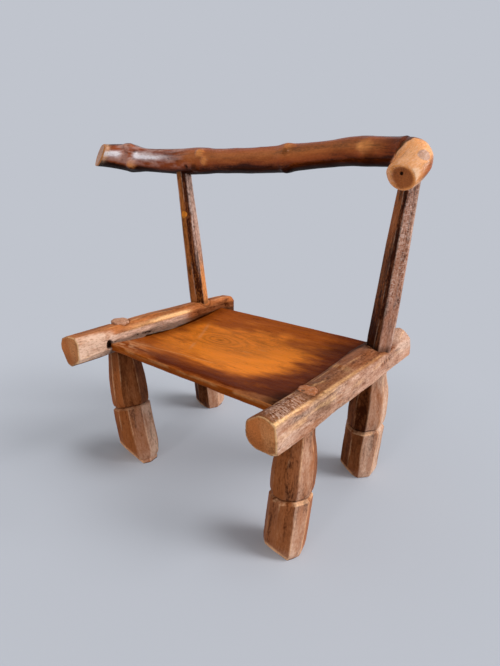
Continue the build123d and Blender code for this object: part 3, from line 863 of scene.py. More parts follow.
def left_rail_skin(points, rod, arris, form):
    """The left rail's own marks: pale inner face, partly a painted sheen, bright rubbed shoulder, the
    seat slot's open end, and painted shade in the slot, under the board, on the far side and underneath.
    """
    seed = form["seed"]
    x, y, z = (points[..., k] for k in range(3))
    top = smooth(z, 189, 195)
    rings = pressed_rings(points, form, top)
    # The seat slot's open end: pushed in, and darkened in the grime as painted shade.
    slot_mouth = spot(points, (-51, -123.2, 180.0), (30, 4.8, 6.4)) * smooth(x, -60, -54)
    deep = smooth(slot_mouth, 0.3, 0.5)
    points[..., 0] -= 7.0 * deep
    inner = smooth(x, -62, -56)
    grainy = rough(rod, (5, 5, 22), seed + 31)
    pitted = inner * smooth(z, 192.5, 190) * smooth(y, -128, -116) * smooth(y, 40, 10)
    points[..., 0] -= 0.9 * pitted * smooth(lumps(points, (4, 5, 3), seed + 32), -0.2, 0.8)
    shoulder = bell(z, 193.8, 2.4) * smooth(x, -66, -59)
    rubbed = shoulder * smooth(y, -52, -28) * smooth(y, 44, 20)
    ahead = 0.3 * shoulder * smooth(y, -100, -70) * smooth(y, -30, -50)
    # Painted shade: darker on the far side, away from the light, and underneath.
    far_side = smooth(x, -78, -86) * smooth(z, 186, 194) * smooth(y, -120, -80) * smooth(y, 90, 60)
    # The inner face's front part is pale with dust and a painted sheen.
    near = smooth(y, -116, -134)
    # Painted shade: the inner face under the board's front corner, in the grime.
    return {
        "wear_and_highlight": 0.35 * arris * patches(rod, (9, 9, 30), seed + 14, -0.4, 0.6)
        + rubbed * (1.25 + 0.4 * grainy) + ahead + 0.06 * near * inner,
        "grime": 0.5 * rings + deep + 0.35 * pitted * smooth(grainy, 0.1, 0.9)
        + 0.65 * inner * smooth(z, 186, 181) * smooth(y, -124, -118),
        "chalk": near * inner * (0.78 + 0.3 * grainy) + 0.8 * pitted
        + 0.05 * patches(rod, (8, 8, 30), seed + 19, 0.1, 0.9) + 0.5 * bell(y, -118, 4.5) * inner,
        "warm": 0.55 * top * (1 - near * 0.4) * (0.7 + 0.6 * grainy) + 0.4 * rubbed
        + 0.3 * smooth(y, -158, -166),
        "dark": 0.75 * far_side + 0.55 * smooth(y, 36, 60) * smooth(z, 197, 190)
        + 0.35 * patches(rod, (7, 7, 40), seed + 16, 0.2, 1.0) + 0.6 * smooth(z, 176, 164),
    }  # fmt: skip


def right_rail_skin(points, rod, arris, form):
    """The right rail's own marks: scored top, hollow and step, bright arris with a painted highlight,
    streaked outer face, pale with dust and a painted sheen, and painted shade on the inner side.
    """
    seed = form["seed"]
    x, y, z = (points[..., k] for k in range(3))
    top = smooth(z, 190, 194.5)
    rings = pressed_rings(points, form, top)
    # The hollow in the top begins behind the tenon and ends at a step that slants across the rail.
    slant = 0.25 * (x - 236)
    hollow = smooth(y, -74, -62) * smooth(y, -6 + slant, -12 + slant) * top
    points[..., 2] -= 1.7 * hollow
    step = bell(y, -8 + slant, 5.0) * top * smooth(x, 246, 238)
    # The outer face: pale with dust and a painted sheen where it faces the light.
    outer = smooth(x, 249, 252.5)
    upper_arris = bell(x - z, 56.6, 2.4) * smooth(z, 186, 190)
    grainy = rough(rod, (5, 5, 20), seed + 31)
    # The upper arris: rubbed, and painted with a highlight that is brightest at the front.
    bright = upper_arris * (0.75 + 0.45 * grainy + 0.5 * smooth(y, -140, -160))
    bright = bright * (1 - 0.75 * spot(points, (250, -94, 190), (40, 9, 40)))
    bright = bright * (1 - 0.3 * smooth(y, -135, -105)) * (1 - 0.5 * smooth(y, -60, 0))
    bright = bright * (1 - smooth(y, 50, 100))
    streak = spot(points, (252, -92, 184), (30, 13, 9)) + 0.8 * spot(points, (252, -74, 178), (30, 10, 10))
    streak = np.clip(streak, 0, 1)
    ridge = bell(x, 229.0 + 0.03 * (y + 120), 1.1) * top * smooth(y, -146, -136) * smooth(y, -104, -112)
    cracks = sum(spot(points, place, (30, 0.9, 3.6)) for place in RIGHT_CRACKS)
    front = smooth(y, -98, -112)
    # Painted shade: darker on the inner side by the seat and low on the outer face.
    return {
        "wear_and_highlight": 0.3 * arris * patches(rod, (9, 9, 30), seed + 14, -0.3, 0.6) + bright + 0.75 * ridge
        + 0.25 * step * smooth(grainy, -0.5, 0.5),
        "grime": 0.4 * rings + 0.9 * np.clip(cracks, 0, 1) + 0.35 * smooth(x, 224, 218) * top
        + 0.35 * step * smooth(grainy, 0.2, 0.6),
        "chalk": outer * (0.4 + 0.3 * grainy) * (1 - 0.8 * streak)
        + 0.06 * top * (1 - front) * (0.8 + 0.6 * grainy)
        + 0.5 * smooth(y, 100, 130) * smooth(z, 176, 188),
        "warm": 0.22 * step + 0.25 * outer * smooth(y, -70, 20) * smooth(grainy, -0.4, 0.8)
        + 0.4 * smooth(y, 120, 150) + 0.35 * spot(points, (235, -80, 196), (9, 7, 9)),
        "dark": 0.12 * outer * smooth(grainy, 0.4, -0.4)
        + 0.55 * top * (1 - 0.55 * smooth(y, -20, 40)) * (1 - upper_arris) + 0.9 * streak
        + 0.8 * smooth(x, 222, 217) + 0.3 * smooth(z, 172, 160) * smooth(x, 252, 246),
        "hatch": top * front * smooth(x, 224, 230) * smooth(y, -168, -160),
    }  # fmt: skip


# ---- posts --------------------------------------------------------------------------------

POST_SPACING, POST_COLUMNS, POST_FLATS, POST_SHARPNESS = 0.95, 144, 8, 45
POST_END, POST_END_RADIUS = (1.0, 0.3), 11.0
# For each post: the ends of its axis; its flats' facings from +X, and each one's share of the half
# width; its width by height; and the first flats' tints in turn, as shares of dark, warm and chalk,
# partly painted light: dark as painted shade on flats turned from the light, chalk as a painted
# sheen on flats that face it.
POSTS = {
    "left_post": {
        "foot": (-74.4, 74.2, 188.0), "head": (-114.0, 73.4, 417.5), "seed": 101,
        "facing": [-88, -38, 8, 50, 94, 138, 184, 230],
        "share": [1.0, 0.97, 1.0, 1.0, 1.0, 1.0, 1.0, 1.0],
        "across": [(188, 28.0), (208, 28.4), (248, 27.6), (308, 26.4), (368, 23.0), (417.5, 21.5)],
        "tints_and_shading": [(0.15, 0.3, 0.0), (1.1, 0.05, 0.0), (0.45, 0.1, 0.1), (0.1, 0.2, 0.3)],
    },
    "right_post": {
        "foot": (235.6, 88.6, 188.0), "head": (249.2, 87.4, 435.5), "seed": 113,
        "facing": [-126, -80, -36, 10, 54, 99, 144, 189],
        "share": [0.86, 1.02, 0.86, 1.0, 0.86, 1.0, 0.86, 1.0],
        "across": [(188, 31.0), (208, 32.4), (268, 30.6), (328, 28.2), (388, 24.4), (435.5, 21.8)],
        "tints_and_shading": [(0.7, 0.2, 0.0), (1.1, 0.0, 0.0), (0.12, 0.05, 0.22), (0.1, 0.1, 0.4)],
    },
}  # fmt: skip


def post(name, material):
    """A tapered post of shaved flats, from inside its rail up into the branch."""
    form = POSTS[name]
    seed = form["seed"]
    foot, head = np.array(form["foot"]), np.array(form["head"])
    line = [foot + (head - foot) * k / 5 for k in range(6)]
    bar = Bar(line, POST_SPACING, POST_COLUMNS, POST_END, POST_END, (0, 1, 0), POST_END_RADIUS)
    z = np.broadcast_to(bar.centre[:, 2][:, None], bar.angle.shape)
    half = read(form["across"], z) / 2
    distance = half[..., None] * np.array(form["share"]) + 0.35 * by_height(z, POST_FLATS, seed, 60)
    radius, arris, nearest = carved(bar.angle, form["facing"], distance, POST_SHARPNESS)
    rod = bar.rod(radius)
    radius = radius + 0.14 * rough(rod, (6, 6, 44), seed + 9) + 0.1 * lumps(rod, (2, 2, 9), seed + 10)
    points = bar.points(radius)
    tints_and_shading = nearest @ np.array([*form["tints_and_shading"], *[OTHER_TINT_AND_SHADING] * (POST_FLATS - len(form["tints_and_shading"]))])
    skin = 0.85 + 0.4 * rough(rod, (6, 6, 40), seed + 18)
    marks = {
        "wear_and_highlight": 0.3 * arris * patches(rod, (6, 6, 30), seed + 14, -0.3, 0.6),
        "grime": 0.5 * smooth(z, 205, 196) + 0.25 * patches(rod, (5, 5, 50), seed + 16, 0.3, 1.0)
        + 0.5 * smooth(z, head[2] - 26, head[2] - 14),
        "chalk": tints_and_shading[..., 2] * skin,
        "warm": tints_and_shading[..., 1] * skin,
        "dark": tints_and_shading[..., 0] * skin,
    }  # fmt: skip
    first, second, third = (nearest[..., k] for k in range(3))
    if name == "left_post":
        chip = smooth(spot(points, (-98.6, 63.0, 338), (7.0, 9.0, 7.2)), 0.5, 0.62)
        turn = (np.degrees(bar.angle) + 180) % 360 - 180
        # A painted highlight: a narrow pale strip down the post's front, broken along its length.
        strip = bell(turn, -24, 8) * smooth(z, 220, 320)
        strip = strip * smooth(lumps(points, (3, 3, 30), seed + 30), -0.9, 0.1)
        marks["warm"] += chip + 0.3 * smooth(z, 300, 240) * (second + third) + 0.3 * third * smooth(z, 300, 230)
        marks["dark"] *= (1 - chip) * (1 - 0.9 * strip) * (1 - 0.75 * smooth(z, 320, 220) * third)
        marks["chalk"] += 0.85 * strip + 0.35 * third * smooth(z, 235, 300)
    else:
        near_foot = smooth(z, 262, 205)
        marks["dark"] += near_foot * 0.6 * first - 0.5 * first * smooth(z, 290, 400)
        marks["hatch"] = third * smooth(z, 230, 290) * patches(rod, (4, 4, 30), seed + 24, -0.9, 0.3)
        marks["grime"] += near_foot * 0.35 * (first + second)
        marks["warm"] += 0.5 * smooth(spot(points, (237, 76, 222), (8, 8, 4)), 0.55, 0.75)
    piece = put_in(name, points, rod, marks, material)


# ---- crest rail ---------------------------------------------------------------------------

CREST_SPACING, CREST_COLUMNS, CREST_SHARPNESS = 1.1, 132, 26
CREST_LEFT_END, CREST_RIGHT_END, CREST_END_RADIUS = (2.0, 0.5), (6.0, 1.0), 18.0
CREST_SEED = 131
# Places along the branch: x, y, z and radius.
BRANCH = [
    (-297, -3, 423, 16.4), (-281, 9, 422.3, 16.6), (-263, 19.5, 421.8, 17.0), (-249, 26, 421.5, 17.4),
    (-229, 34.5, 420.7, 18.6), (-213, 45.5, 419.6, 20.5), (-204, 50.5, 418.7, 21.6), (-193, 54.5, 417.7, 19.6),
    (-179, 59.5, 417.1, 17.8), (-147, 67.5, 416.6, 17.8), (-118, 73.5, 416.7, 18.8), (-107, 75.5, 417.1, 19.2),
    (-85, 77.5, 418.3, 19.5), (-67, 79.5, 418.8, 19.0), (-47, 80.5, 419.2, 17.4), (-12, 81.5, 420.6, 17.0),
    (23, 82.5, 421.8, 17.0), (63, 82.5, 424.6, 17.3), (79, 82.5, 426.4, 18.8), (95, 82.5, 427.8, 17),
    (142, 82.5, 432.3, 16.0), (171, 82.5, 435.3, 16.8), (191, 82.5, 435.8, 17.3), (207, 82.5, 436, 17),
    (229, 82, 435.8, 16.8), (243, 79.5, 435.0, 18.4), (252, 72.5, 431.9, 19.6), (257.5, 61.5, 425.6, 20.2),
    (257.3, 49, 418.2, 19.8), (254.2, 38, 412.9, 19.8), (252.9, 34, 411.0, 20.3),
]  # fmt: skip
# Knots: place, radius, how far they stand out, and how warm and how dark their hearts are.
KNOTS = [
    ((-191.3, 36.8, 409.2), 8.5, 2.4, 0.75, 0.0),
    ((-204, 40, 436), 9.0, 2.0, 0.1, 0.2),
    ((-67, 63.5, 430), 7.5, 2.4, 0.42, 0.0),
    ((-76, 62, 410), 7.0, 1.6, 0.0, 0.6),
    ((-92, 60, 410), 3.4, -2.6, 0.0, 1.0),
    ((-99, 62, 420), 4.5, 1.2, 0.1, 0.3),
    ((-57, 63, 418), 6.5, 1.6, 0.4, 0.0),
    ((86, 68, 444), 9.5, 1.6, 0.32, 0.0),
    ((84, 67, 433), 5.5, 0.6, 0.0, 0.45),
    ((84, 70, 409), 8.0, 2.4, 0.0, 0.3),
    ((195.7, 65.7, 441), 11.0, 0.9, 0.3, 0.0),
    ((188.5, 65.7, 441), 5.0, 0.3, 0.25, 0.0),
    ((203, 66.5, 429), 10.0, -0.5, 0.0, 0.6),
    ((191, 78, 452), 10.0, 0.4, 0.0, 0.2),
]
# The branch's trimmed ends: a place on each cut, the way it faces, and how softly it meets the bark.
LEFT_TRIM = ((-253.4, 22.0, 421.7), (-0.42, -0.84, 0.34), 3.2)
SLOPE_TRIM = ((253.9, 37.0, 424.6), (-0.05, -0.76, 0.65), 9.0)
SIDE_TRIM = ((272.1, 38.8, 414.2), (0.66, -0.74, 0.1), 6.0)
FACE_TRIM = ((254, 39.4, 413), (0.0, -0.97, -0.24), 0.9)
# How much of the branch each end's cuts may reach.
LEFT_REACH, RIGHT_REACH = 120, 62
SAWN_KNOT, PITH = (270.7, 55.1, 432.2), (254.7, 39.6, 412.8)


def crest(material):
    """The branch: a line through measured places with its own radius, knots and two trimmed ends."""
    seed = CREST_SEED
    table = np.array(BRANCH)
    ends = (CREST_LEFT_END, CREST_RIGHT_END)
    bar = Bar(table[:, :3], CREST_SPACING, CREST_COLUMNS, *ends, (0, 0, 1), CREST_END_RADIUS)
    fine = curve(table)
    run = np.concatenate([[0], np.cumsum(np.linalg.norm(np.diff(fine[:, :3], axis=0), axis=1))])
    radius = np.interp(bar.run, run * (bar.length / run[-1]), fine[:, 3])
    turn = bar.angle + 0.4 * lumps(np.stack([bar.run] * 3, -1), 90, seed)
    facets, _, _ = carved(turn, np.arange(9) * 40, 1.0, CREST_SHARPNESS)
    radius = radius * (1.005 + 0.25 * (facets - 1.0))
    rod = bar.rod(radius)
    radius = radius + 0.4 * rough(rod, (14, 14, 44), seed + 9) + 0.1 * lumps(rod, (3, 3, 9), seed + 10)
    points = bar.points(radius)
    warm_heart, dark_heart = np.zeros(radius.shape), np.zeros(radius.shape)
    for place, width, rise, warm, dark in KNOTS:
        near = spot(points, place, width)
        radius = radius + rise * smooth(near, 0.1, 0.7)
        heart = smooth(near + 0.14 * lumps(points, 4, seed + 5), 0.16, 0.95)
        warm_heart += warm * heart
        dark_heart += dark * heart
    points = bar.points(radius)
    left_end, right_end = bar.run < LEFT_REACH, bar.run > bar.length - RIGHT_REACH
    points, past_left = bar.cut(points, *LEFT_TRIM, left_end)
    points, _ = bar.cut(points, *SLOPE_TRIM, right_end, True)
    points, past_side = bar.cut(points, *SIDE_TRIM, right_end, True)
    points, past_face = bar.cut(points, *FACE_TRIM, right_end)
    left_cut, side_cut, face_cut = (smooth(past, -1.0, 1.4) for past in (past_left, past_side, past_face))
    x, y, z = (points[..., k] for k in range(3))
    # The peeled front of the elbow begins at a crease that slants down to the left.
    past_crease = smooth((x - 223.7) * 0.78 - (z - 421.3) * 0.62 + 4 * lumps(points, 12, seed + 3), -1, 3)
    past_crease = past_crease * smooth(x, 222, 229)
    bark_right = 279 + 0.1 * (z - 420)
    peeled = past_crease * smooth(y, 80, 71) * smooth(x, bark_right, bark_right - 7) * (1 - face_cut)
    # A painted shadow line along the crease, in the grime.
    crease = past_crease * (1 - past_crease) * 4 * smooth(y, 82, 74) * right_end
    near_knot = spot(points, SAWN_KNOT, 7.5)
    cut_knot = smooth(near_knot, 0.35, 0.5)
    knot_rim = smooth(near_knot, 0.12, 0.3) * (1 - cut_knot)
    pith = smooth(spot(points, PITH, 2.6), 0.45, 0.7) * face_cut
    points[..., 1] += 1.5 * pith
    heartwood = face_cut * smooth(bar.inside + 0.05 * lumps(points, 6, seed + 31), 0.94, 0.74)
    # How far a place looks up, and how much of it is the left part, which is dirtier and carries a painted
    # highlight.
    skin = rough(rod, (13, 13, 60), seed + 16)
    up = np.sin(bar.angle) - 0.12 * skin
    west = smooth(x, -75, -125)
    in_front = y < 74
    # The underside is darkened as painted shade, here and again in the grime below.
    under = smooth(-up - 0.25 * west, 0.1, 0.62)
    upper = smooth(up, 0.84, 1.05)
    bare = np.clip(left_cut + peeled + face_cut, 0, 1)
    specks = patches(rod, (4, 4, 6), seed + 22, 0.45, 0.85)
    # A painted golden highlight along the upper front of the middle part.
    golden_highlight = bell(up, 0.32, 0.46) * smooth(y, 82, 70) * (1 - west) * smooth(x, 232, 205)
    # Where along the left part a painted highlight lies, and the painted highlight itself, a pale band on the
    # upper front.
    sheen = smooth(x, -244, -236) * smooth(x, -202, -212) + smooth(x, -190, -182) * smooth(x, -112, -172)
    gloss = bell(up, 0.23, 0.2) * sheen * in_front * smooth(skin, -1.2, -0.2)
    # The left cut's rim: a warm rubbed edge that also carries a painted highlight.
    rim = bell(past_left, -3.5, 3.6) * left_end
    dusty = west * smooth(-up, 0.62, 0.2) * patches(rod, (5, 5, 16), seed + 27, -0.7, 0.5) * in_front
    patina_and_shade = 0.95 * under + 0.7 * upper + 0.3 * smooth(skin, 0.0, 0.9) + 0.15 * west * (1 - gloss)
    marks = {
        "wear_and_highlight": 0.25 * peeled * smooth(skin, -0.6, 0.6) + 0.5 * side_cut * (1 - face_cut) + 0.25 * rim,
        "grime": 0.8 * crease + pith + 0.4 * specks * (1 - bare) * (0.2 + 0.8 * west)
        + 0.9 * smooth(-up, 0.45, 0.95) * (1 - bare) + 0.5 * np.clip(dark_heart, 0, 1),
        "chalk": (1.15 * gloss + 0.16 * dusty) * (1 - bare) + 0.16 * cut_knot,
        "warm": 0.55 * rim + 0.75 * left_cut + 0.85 * peeled * (1 - 0.6 * cut_knot) + warm_heart
        + 0.3 * knot_rim + 0.24 * golden_highlight + 0.12 * dusty + 0.25 * heartwood + 0.8 * (face_cut - heartwood),
        "hatch": 0.22 * peeled,
        "dark": patina_and_shade * (1 - bare) * (1 - np.clip(1.2 * warm_heart, 0, 1)) + 0.4 * left_cut
        + 0.34 * heartwood + 0.3 * cut_knot + 0.5 * dark_heart + 0.55 * smooth(x, 200, 232) * (1 - past_crease),
    }  # fmt: skip
    piece = put_in("crest_rail", points, rod, marks, material)


# ---- seat board ---------------------------------------------------------------------------

SEAT_LEFT, SEAT_RIGHT = -55.55, 222.95
SEAT_MIDDLE = 83.7
SEAT_BACK = 109.0
# The front edge's Y at the board's left and right end, and where the arc that hollows it lies.
SEAT_FRONT = (-120.0, -127.0)
ARC_FRONT, ARC_BACK = -143.0, 115.5
EDGE_HEIGHT = 188.0
# How thick the board is at the arc's ends, and how deep its top and its underside bow.
THICKNESS, DISH, BELLY = 12.6, 11.5, 6.0
TILT = math.tan(math.radians(1.3))
SEAT_KNOT = (33.0, 3.5)
SEAT_SEED = 150
SEAT_ROWS, TOP_COLUMNS, UNDER_COLUMNS, EDGE_COLUMNS = 230, 220, 100, 12
# How far the front edge's top is rounded down, by X.
NOSE = [(-55, 0.4), (-20, 1.8), (30, 2.6), (223, 2.6)]
# How far the front's dark band reaches back, and the dusty strip ahead of it, by X.
BAND = [(-55, 9), (-20, 14), (30, 19), (98, 21), (130, 28), (158, 42), (180, 56), (223, 70)]
DUSTED = [(-55, 3), (0, 1.5), (60, 0.5), (110, 0.5), (150, 2.5), (183, 9), (223, 13)]
# Rings round the seat's knot: radius, width, wander and strength.
KNOT_RINGS = [(8.5, 1.3, 1.2, 1.0), (14.5, 1.5, -1, 0.8), (22.5, 2.0, -2, 0.55)]
# A size that keeps a spot from fading with height.
ANY = 400


def seat(material):
    """The cupped board: a closed section of top arc, front edge, under arc and back edge along X."""
    seed = SEAT_SEED
    rows = np.linspace(SEAT_LEFT, SEAT_RIGHT, SEAT_ROWS)
    edge = np.linspace(0, 1, EDGE_COLUMNS + 2)[1:-1]
    side = np.concatenate([np.zeros(TOP_COLUMNS), edge, np.ones(UNDER_COLUMNS), 1 - edge])
    over, under = np.linspace(0, 1, TOP_COLUMNS), 1 - np.linspace(0, 1, UNDER_COLUMNS)
    run = np.concatenate([over, np.ones(EDGE_COLUMNS), under, np.zeros(EDGE_COLUMNS)])
    x = np.broadcast_to(rows[:, None], (SEAT_ROWS, len(run)))
    front = np.interp(x, [SEAT_LEFT, SEAT_RIGHT], SEAT_FRONT)
    front = front + 0.7 * lumps(np.stack([x, 0 * x, 0 * x], -1), (38, 1, 1), seed + 1)
    inset = 2.0 * (1 - np.sqrt(np.clip(1 - (2 * side - 1) ** 2, 0, 1)))
    y = SEAT_BACK - inset + (front + inset - SEAT_BACK + inset) * run
    from_front, from_right, from_back = y - front, 221.0 - x, SEAT_BACK - y
    t = (y - ARC_FRONT) / (ARC_BACK - ARC_FRONT)
    bow = 4 * t * (1 - t)
    level = EDGE_HEIGHT + TILT * (x - SEAT_MIDDLE) + 1.2 * smooth(y, 60, SEAT_BACK)
    upper = level - DISH * bow - read(NOSE, x) * bell(from_front, 0, 6.0)
    lower = level - THICKNESS - BELLY * bow
    z = upper + (lower - upper) * (0.5 - 0.5 * np.cos(math.pi * side))
    points = np.stack([x, y, z], -1)
    # The grain runs along X and bows round the knot, which pushes its lines apart.
    aside = y - SEAT_KNOT[1]
    away = np.hypot((x - SEAT_KNOT[0]) / 2.1, aside)
    push = 11.0 * bell(away, 0, 20) * np.tanh(aside / 4)
    sweep = 14 * np.sin((x + 40) / 95) * bell(y, -10, 70)
    rod = np.stack([y - push + sweep, z - 180, x * 0.9 + 0.8 * push], -1)
    skin = 0.25 * rough(points, (30, 14, 8), seed + 3) + 0.1 * lumps(points, (14, 3, 3), seed + 5)
    points[..., 2] += skin * np.where(side < 0.5, 1, 1.6)
    top, fore = side < 0.02, run > 0.5
    cloud = rough(points, (34, 16, 30), seed + 7)
    streaks = rough(rod, (5, 5, 90), seed + 8)
    wander = 3.5 * cloud + 1.5 * streaks
    # Dark and worn zones along the edges, with the painted shadow of the right rail along its side, and the
    # bare glow in the middle.
    depth, dusted = read(BAND, x), read(DUSTED, x)
    band = 1 - 0.6 * smooth(from_front + 1.6 * wander + 2 * streaks, dusted + 6, dusted - 2)
    band = band * smooth(from_front + 1.5 * wander, depth + 17, depth - 11)
    shade = 0.85 * smooth(from_right + 2.0 * wander + 6 * streaks, 70, 24)
    shade = shade + 0.15 * smooth(from_right + wander, 40, 14)
    shade = shade * (1 - 0.6 * smooth(from_front + wander, dusted + 8, dusted - 2))
    back = smooth(from_back + wander, 24, 3) * (0.2 + 0.5 * smooth(x, 60, 190))
    left_end = smooth(x, -28, -52) * smooth(y, -70, -20)
    zones = 1 - (1 - 0.92 * band) * (1 - shade) * (1 - back) * (1 - 0.5 * left_end)
    glow = spot(points, (72, -12, 176), (124, 72, ANY)) + 0.35 * spot(points, (128, -38, 176), (50, 34, ANY))
    glow = smooth(glow + 0.2 * cloud + 0.1 * streaks, 0.15, 0.8) * (1 - shade) * (1 - band)
    rings = sum(strength * bell(away - wave * cloud, *form) for *form, wave, strength in KNOT_RINGS)
    rings = rings + 0.9 * bell(away, 0, 3.2)
    arcs = (0.5 + 0.5 * np.sin(away / 4.6 + 1.5 * cloud)) * smooth(away, 16, 26) * smooth(away, 78, 52)
    knot_dark = 0.28 * rings * smooth(y, -60, -20) + 0.16 * smooth(away, 34, 8) + 0.12 * arcs
    # A rubbed track across the board, a long scratch and two small ones, and the pale front left corner.
    track = y + 59 + (x - 31) * (112 / 63)
    rubbed = bell(track, 0, 5.0) * smooth(y, -62, -40) * smooth(y, 56, 30) * smooth(cloud, -0.6, 0.5)
    wavy = y + 1.2 * lumps(points, 30, seed + 13)
    scratch = bell(wavy, 0.138 * (x + 41) - 90.6, 0.9) * smooth(x, 96, 80)
    nicks = spot(points, (91, -10, 176), (7, 2.2, ANY)) + spot(points, (106, 7, 176), (6, 2, ANY))
    corner = spot(points, (-40, -104, 182), (34, 18, ANY))
    corner = corner * patches(points, (9, 3, 9), seed + 11, -0.6, 0.4)
    strip = smooth(from_front + wander, dusted + 4, dusted - 4) * smooth(x, 120, 160)
    lip = bell(from_front, 0, 1.5) * top + 0.7 * smooth(side, 0.0, 0.12) * smooth(side, 0.5, 0.3) * fore
    # Painted shadow along the right rail, in the grime.
    rail_shadow = 0.5 * smooth(from_right, 6, 1) + 0.6 * smooth(from_right + wander, 24, 6)
    marks = {
        "warm": glow * top,
        "dark": (zones * (1.0 + 0.15 * streaks) + knot_dark + 0.12 * smooth(streaks, 0.1, 0.8)) * top
        + 0.3 * (side > 0.5) + 0.3 * ~top * ~fore + 0.35 * smooth(side, 0.05, 0.2) * (side <= 0.5) * fore,
        "grime": (0.35 * bell(away, 0, 2.4) + rail_shadow + 0.3 * shade * smooth(from_front, 60, 10)) * top,
        "wear_and_highlight": 0.42 * lip * patches(points, (16, 5, 5), seed + 15, -0.8, 0.4)
        + 0.45 * scratch * top + 0.2 * nicks,
        "chalk": (0.35 * rubbed + 0.22 * strip + 0.7 * corner) * top,
    }  # fmt: skip
    piece = put_in("seat_board", points, rod, marks, material)


# ---- stage --------------------------------------------------------------------------------

CAMERA_PLACE = (0.4636, -0.48943, 0.4136)
CAMERA_AXES = ((0.7856, 0.6176, 0.0382), (-0.2303, 0.2345, 0.9444), (0.5743, -0.7507, 0.3264))
LENS, SENSOR = 26.043, 36.0
# Each lamp's azimuth from +X and height above the floor, its share of the floor's light and its width.
LAMPS = {
    "key": (22.0, 48.0, 0.31, 26.0),
    "window": (28.0, 16.0, 0.14, 24.0),
    "ceiling": (-10.0, 66.0, 0.18, 100.0),
    "front": (-87.0, 26.0, 0.07, 10.0),
    "fill": (200.0, 30.0, 0.03, 60.0),
}


def lamp(name, azimuth, height, floor_share, width):
    """A far lamp that gives the floor the named share of a plain light level."""
    made = bpy.data.lights.new(name, "SUN")
    made.energy = floor_share * math.pi / math.sin(math.radians(height))
    made.angle = math.radians(width)
    holder = bpy.data.objects.new(name, made)
    bpy.context.scene.collection.objects.link(holder)
    a, e = math.radians(azimuth), math.radians(height)
    towards = Vector((math.cos(a) * math.cos(e), math.sin(a) * math.cos(e), math.sin(e)))
    holder.rotation_mode = "QUATERNION"
    holder.rotation_quaternion = towards.to_track_quat("Z", "Y")


def sky(settings):
    """Even light from all round, and the backdrop's colour to the eye and in reflections."""
    world = bpy.context.scene.world or bpy.data.worlds.new("Studio")
    bpy.context.scene.world = world
    world.use_nodes = True
    recipe = Tree(world.node_tree)
    recipe.tree.nodes.clear()
    light = recipe.node("ShaderNodeBackground", {}, {"Strength": settings.sky_share})
    seen = recipe.node("ShaderNodeBackground", {}, {"Color": opaque(settings.backdrop)})
    path = recipe.node("ShaderNodeLightPath")
    outputs = ("Is Camera Ray", "Is Glossy Ray", "Is Transmission Ray")
    straight, glossy, through = (Wire(recipe, path.outputs[name]) for name in outputs)
    shown = straight.most(glossy).most(through)
    choice = {0: shown, 1: Wire(recipe, light.outputs[0]), 2: Wire(recipe, seen.outputs[0])}
    mixed = recipe.node("ShaderNodeMixShader", {}, choice)
    recipe.node("ShaderNodeOutputWorld", {}, {"Surface": Wire(recipe, mixed.outputs[0])})


def camera():
    """The camera, turned by its own three axes."""
    made = bpy.data.cameras.new("Camera")
    made.sensor_fit = "VERTICAL"
    made.sensor_height = SENSOR
    made.lens = LENS
    made.clip_start, made.clip_end = 0.01, 500
    holder = bpy.data.objects.new("Camera", made)
    bpy.context.scene.collection.objects.link(holder)
    turned = Matrix([[axis[k] for axis in CAMERA_AXES] for k in range(3)]).to_4x4()
    turned.translation = CAMERA_PLACE
    holder.matrix_world = turned
    bpy.context.scene.camera = holder


FLOOR_REACH = 60.0
# How far from the middle the floor's shadow begins to fade and is gone, in metres.
SHADOW_FADE = (0.3, 0.62)
# Where each foot's own shadow is darkest, in metres, and how much more of it shows there.
FOOT_SHADOWS = [(-0.078, -0.118, 0.42), (0.192, -0.130, 0.38), (-0.112, 0.082, 0.42), (0.188, 0.072, 0.3)]
FOOT_SHADOW_FADE = (0.01, 0.085)


def floor(settings):
    """A wide plain floor, whose colour in full light is the backdrop's.

    To the eye it shows its shadow in part, and none of it far off, so that it runs into the backdrop.
    """
    mesh = bpy.data.meshes.new("floor")
    corners = [(FLOOR_REACH * x, FLOOR_REACH * y, 0) for x, y in ((-1, -1), (1, -1), (1, 1), (-1, 1))]
    mesh.from_pydata(corners, [], [(0, 1, 2, 3)])
    recipe = Recipe("floor")
    recipe.shader.inputs["Base Color"].default_value = opaque(settings.backdrop)
    recipe.shader.inputs["Roughness"].default_value = 1.0
    recipe.shader.inputs["Specular IOR Level"].default_value = 0.0
    place = Wire(recipe, recipe.node("ShaderNodeTexCoord").outputs["Object"])
    length = recipe.node("ShaderNodeVectorMath", {"operation": "LENGTH"}, {0: place})
    away = Wire(recipe, length.outputs["Value"])
    path = recipe.node("ShaderNodeLightPath")
    flat = recipe.node("ShaderNodeEmission", {}, {"Color": opaque(settings.backdrop)})
    shown = settings.shadow * (1 - away.step(*SHADOW_FADE))
    for x, y, more in FOOT_SHADOWS:
        distance = recipe.node("ShaderNodeVectorMath", {"operation": "DISTANCE"}, {0: place, 1: (x, y, 0)})
        shown = shown + (1 - Wire(recipe, distance.outputs["Value"]).step(*FOOT_SHADOW_FADE)) * more
    plain = (1 - shown.held()) * Wire(recipe, path.outputs["Is Camera Ray"])
    choice = {0: plain, 1: Wire(recipe, recipe.shader.outputs[0]), 2: Wire(recipe, flat.outputs[0])}
    mixed = recipe.node("ShaderNodeMixShader", {}, choice)
    recipe.feed(recipe.tree.nodes["Material Output"].inputs["Surface"], Wire(recipe, mixed.outputs[0]))
    mesh.materials.append(recipe.material)
    piece = bpy.data.objects.new("floor", mesh)
    bpy.context.scene.collection.objects.link(piece)


# ---- the add-on ---------------------------------------------------------------------------


class CHAIR_OT_seat(bpy.types.Operator):
    """Make the seat board"""

    bl_idname = "chair.seat"
    bl_label = "Seat Board"

    def execute(self, context):
        seat(wood("seat_wood", context.scene.seat_finish))
        return {"FINISHED"}


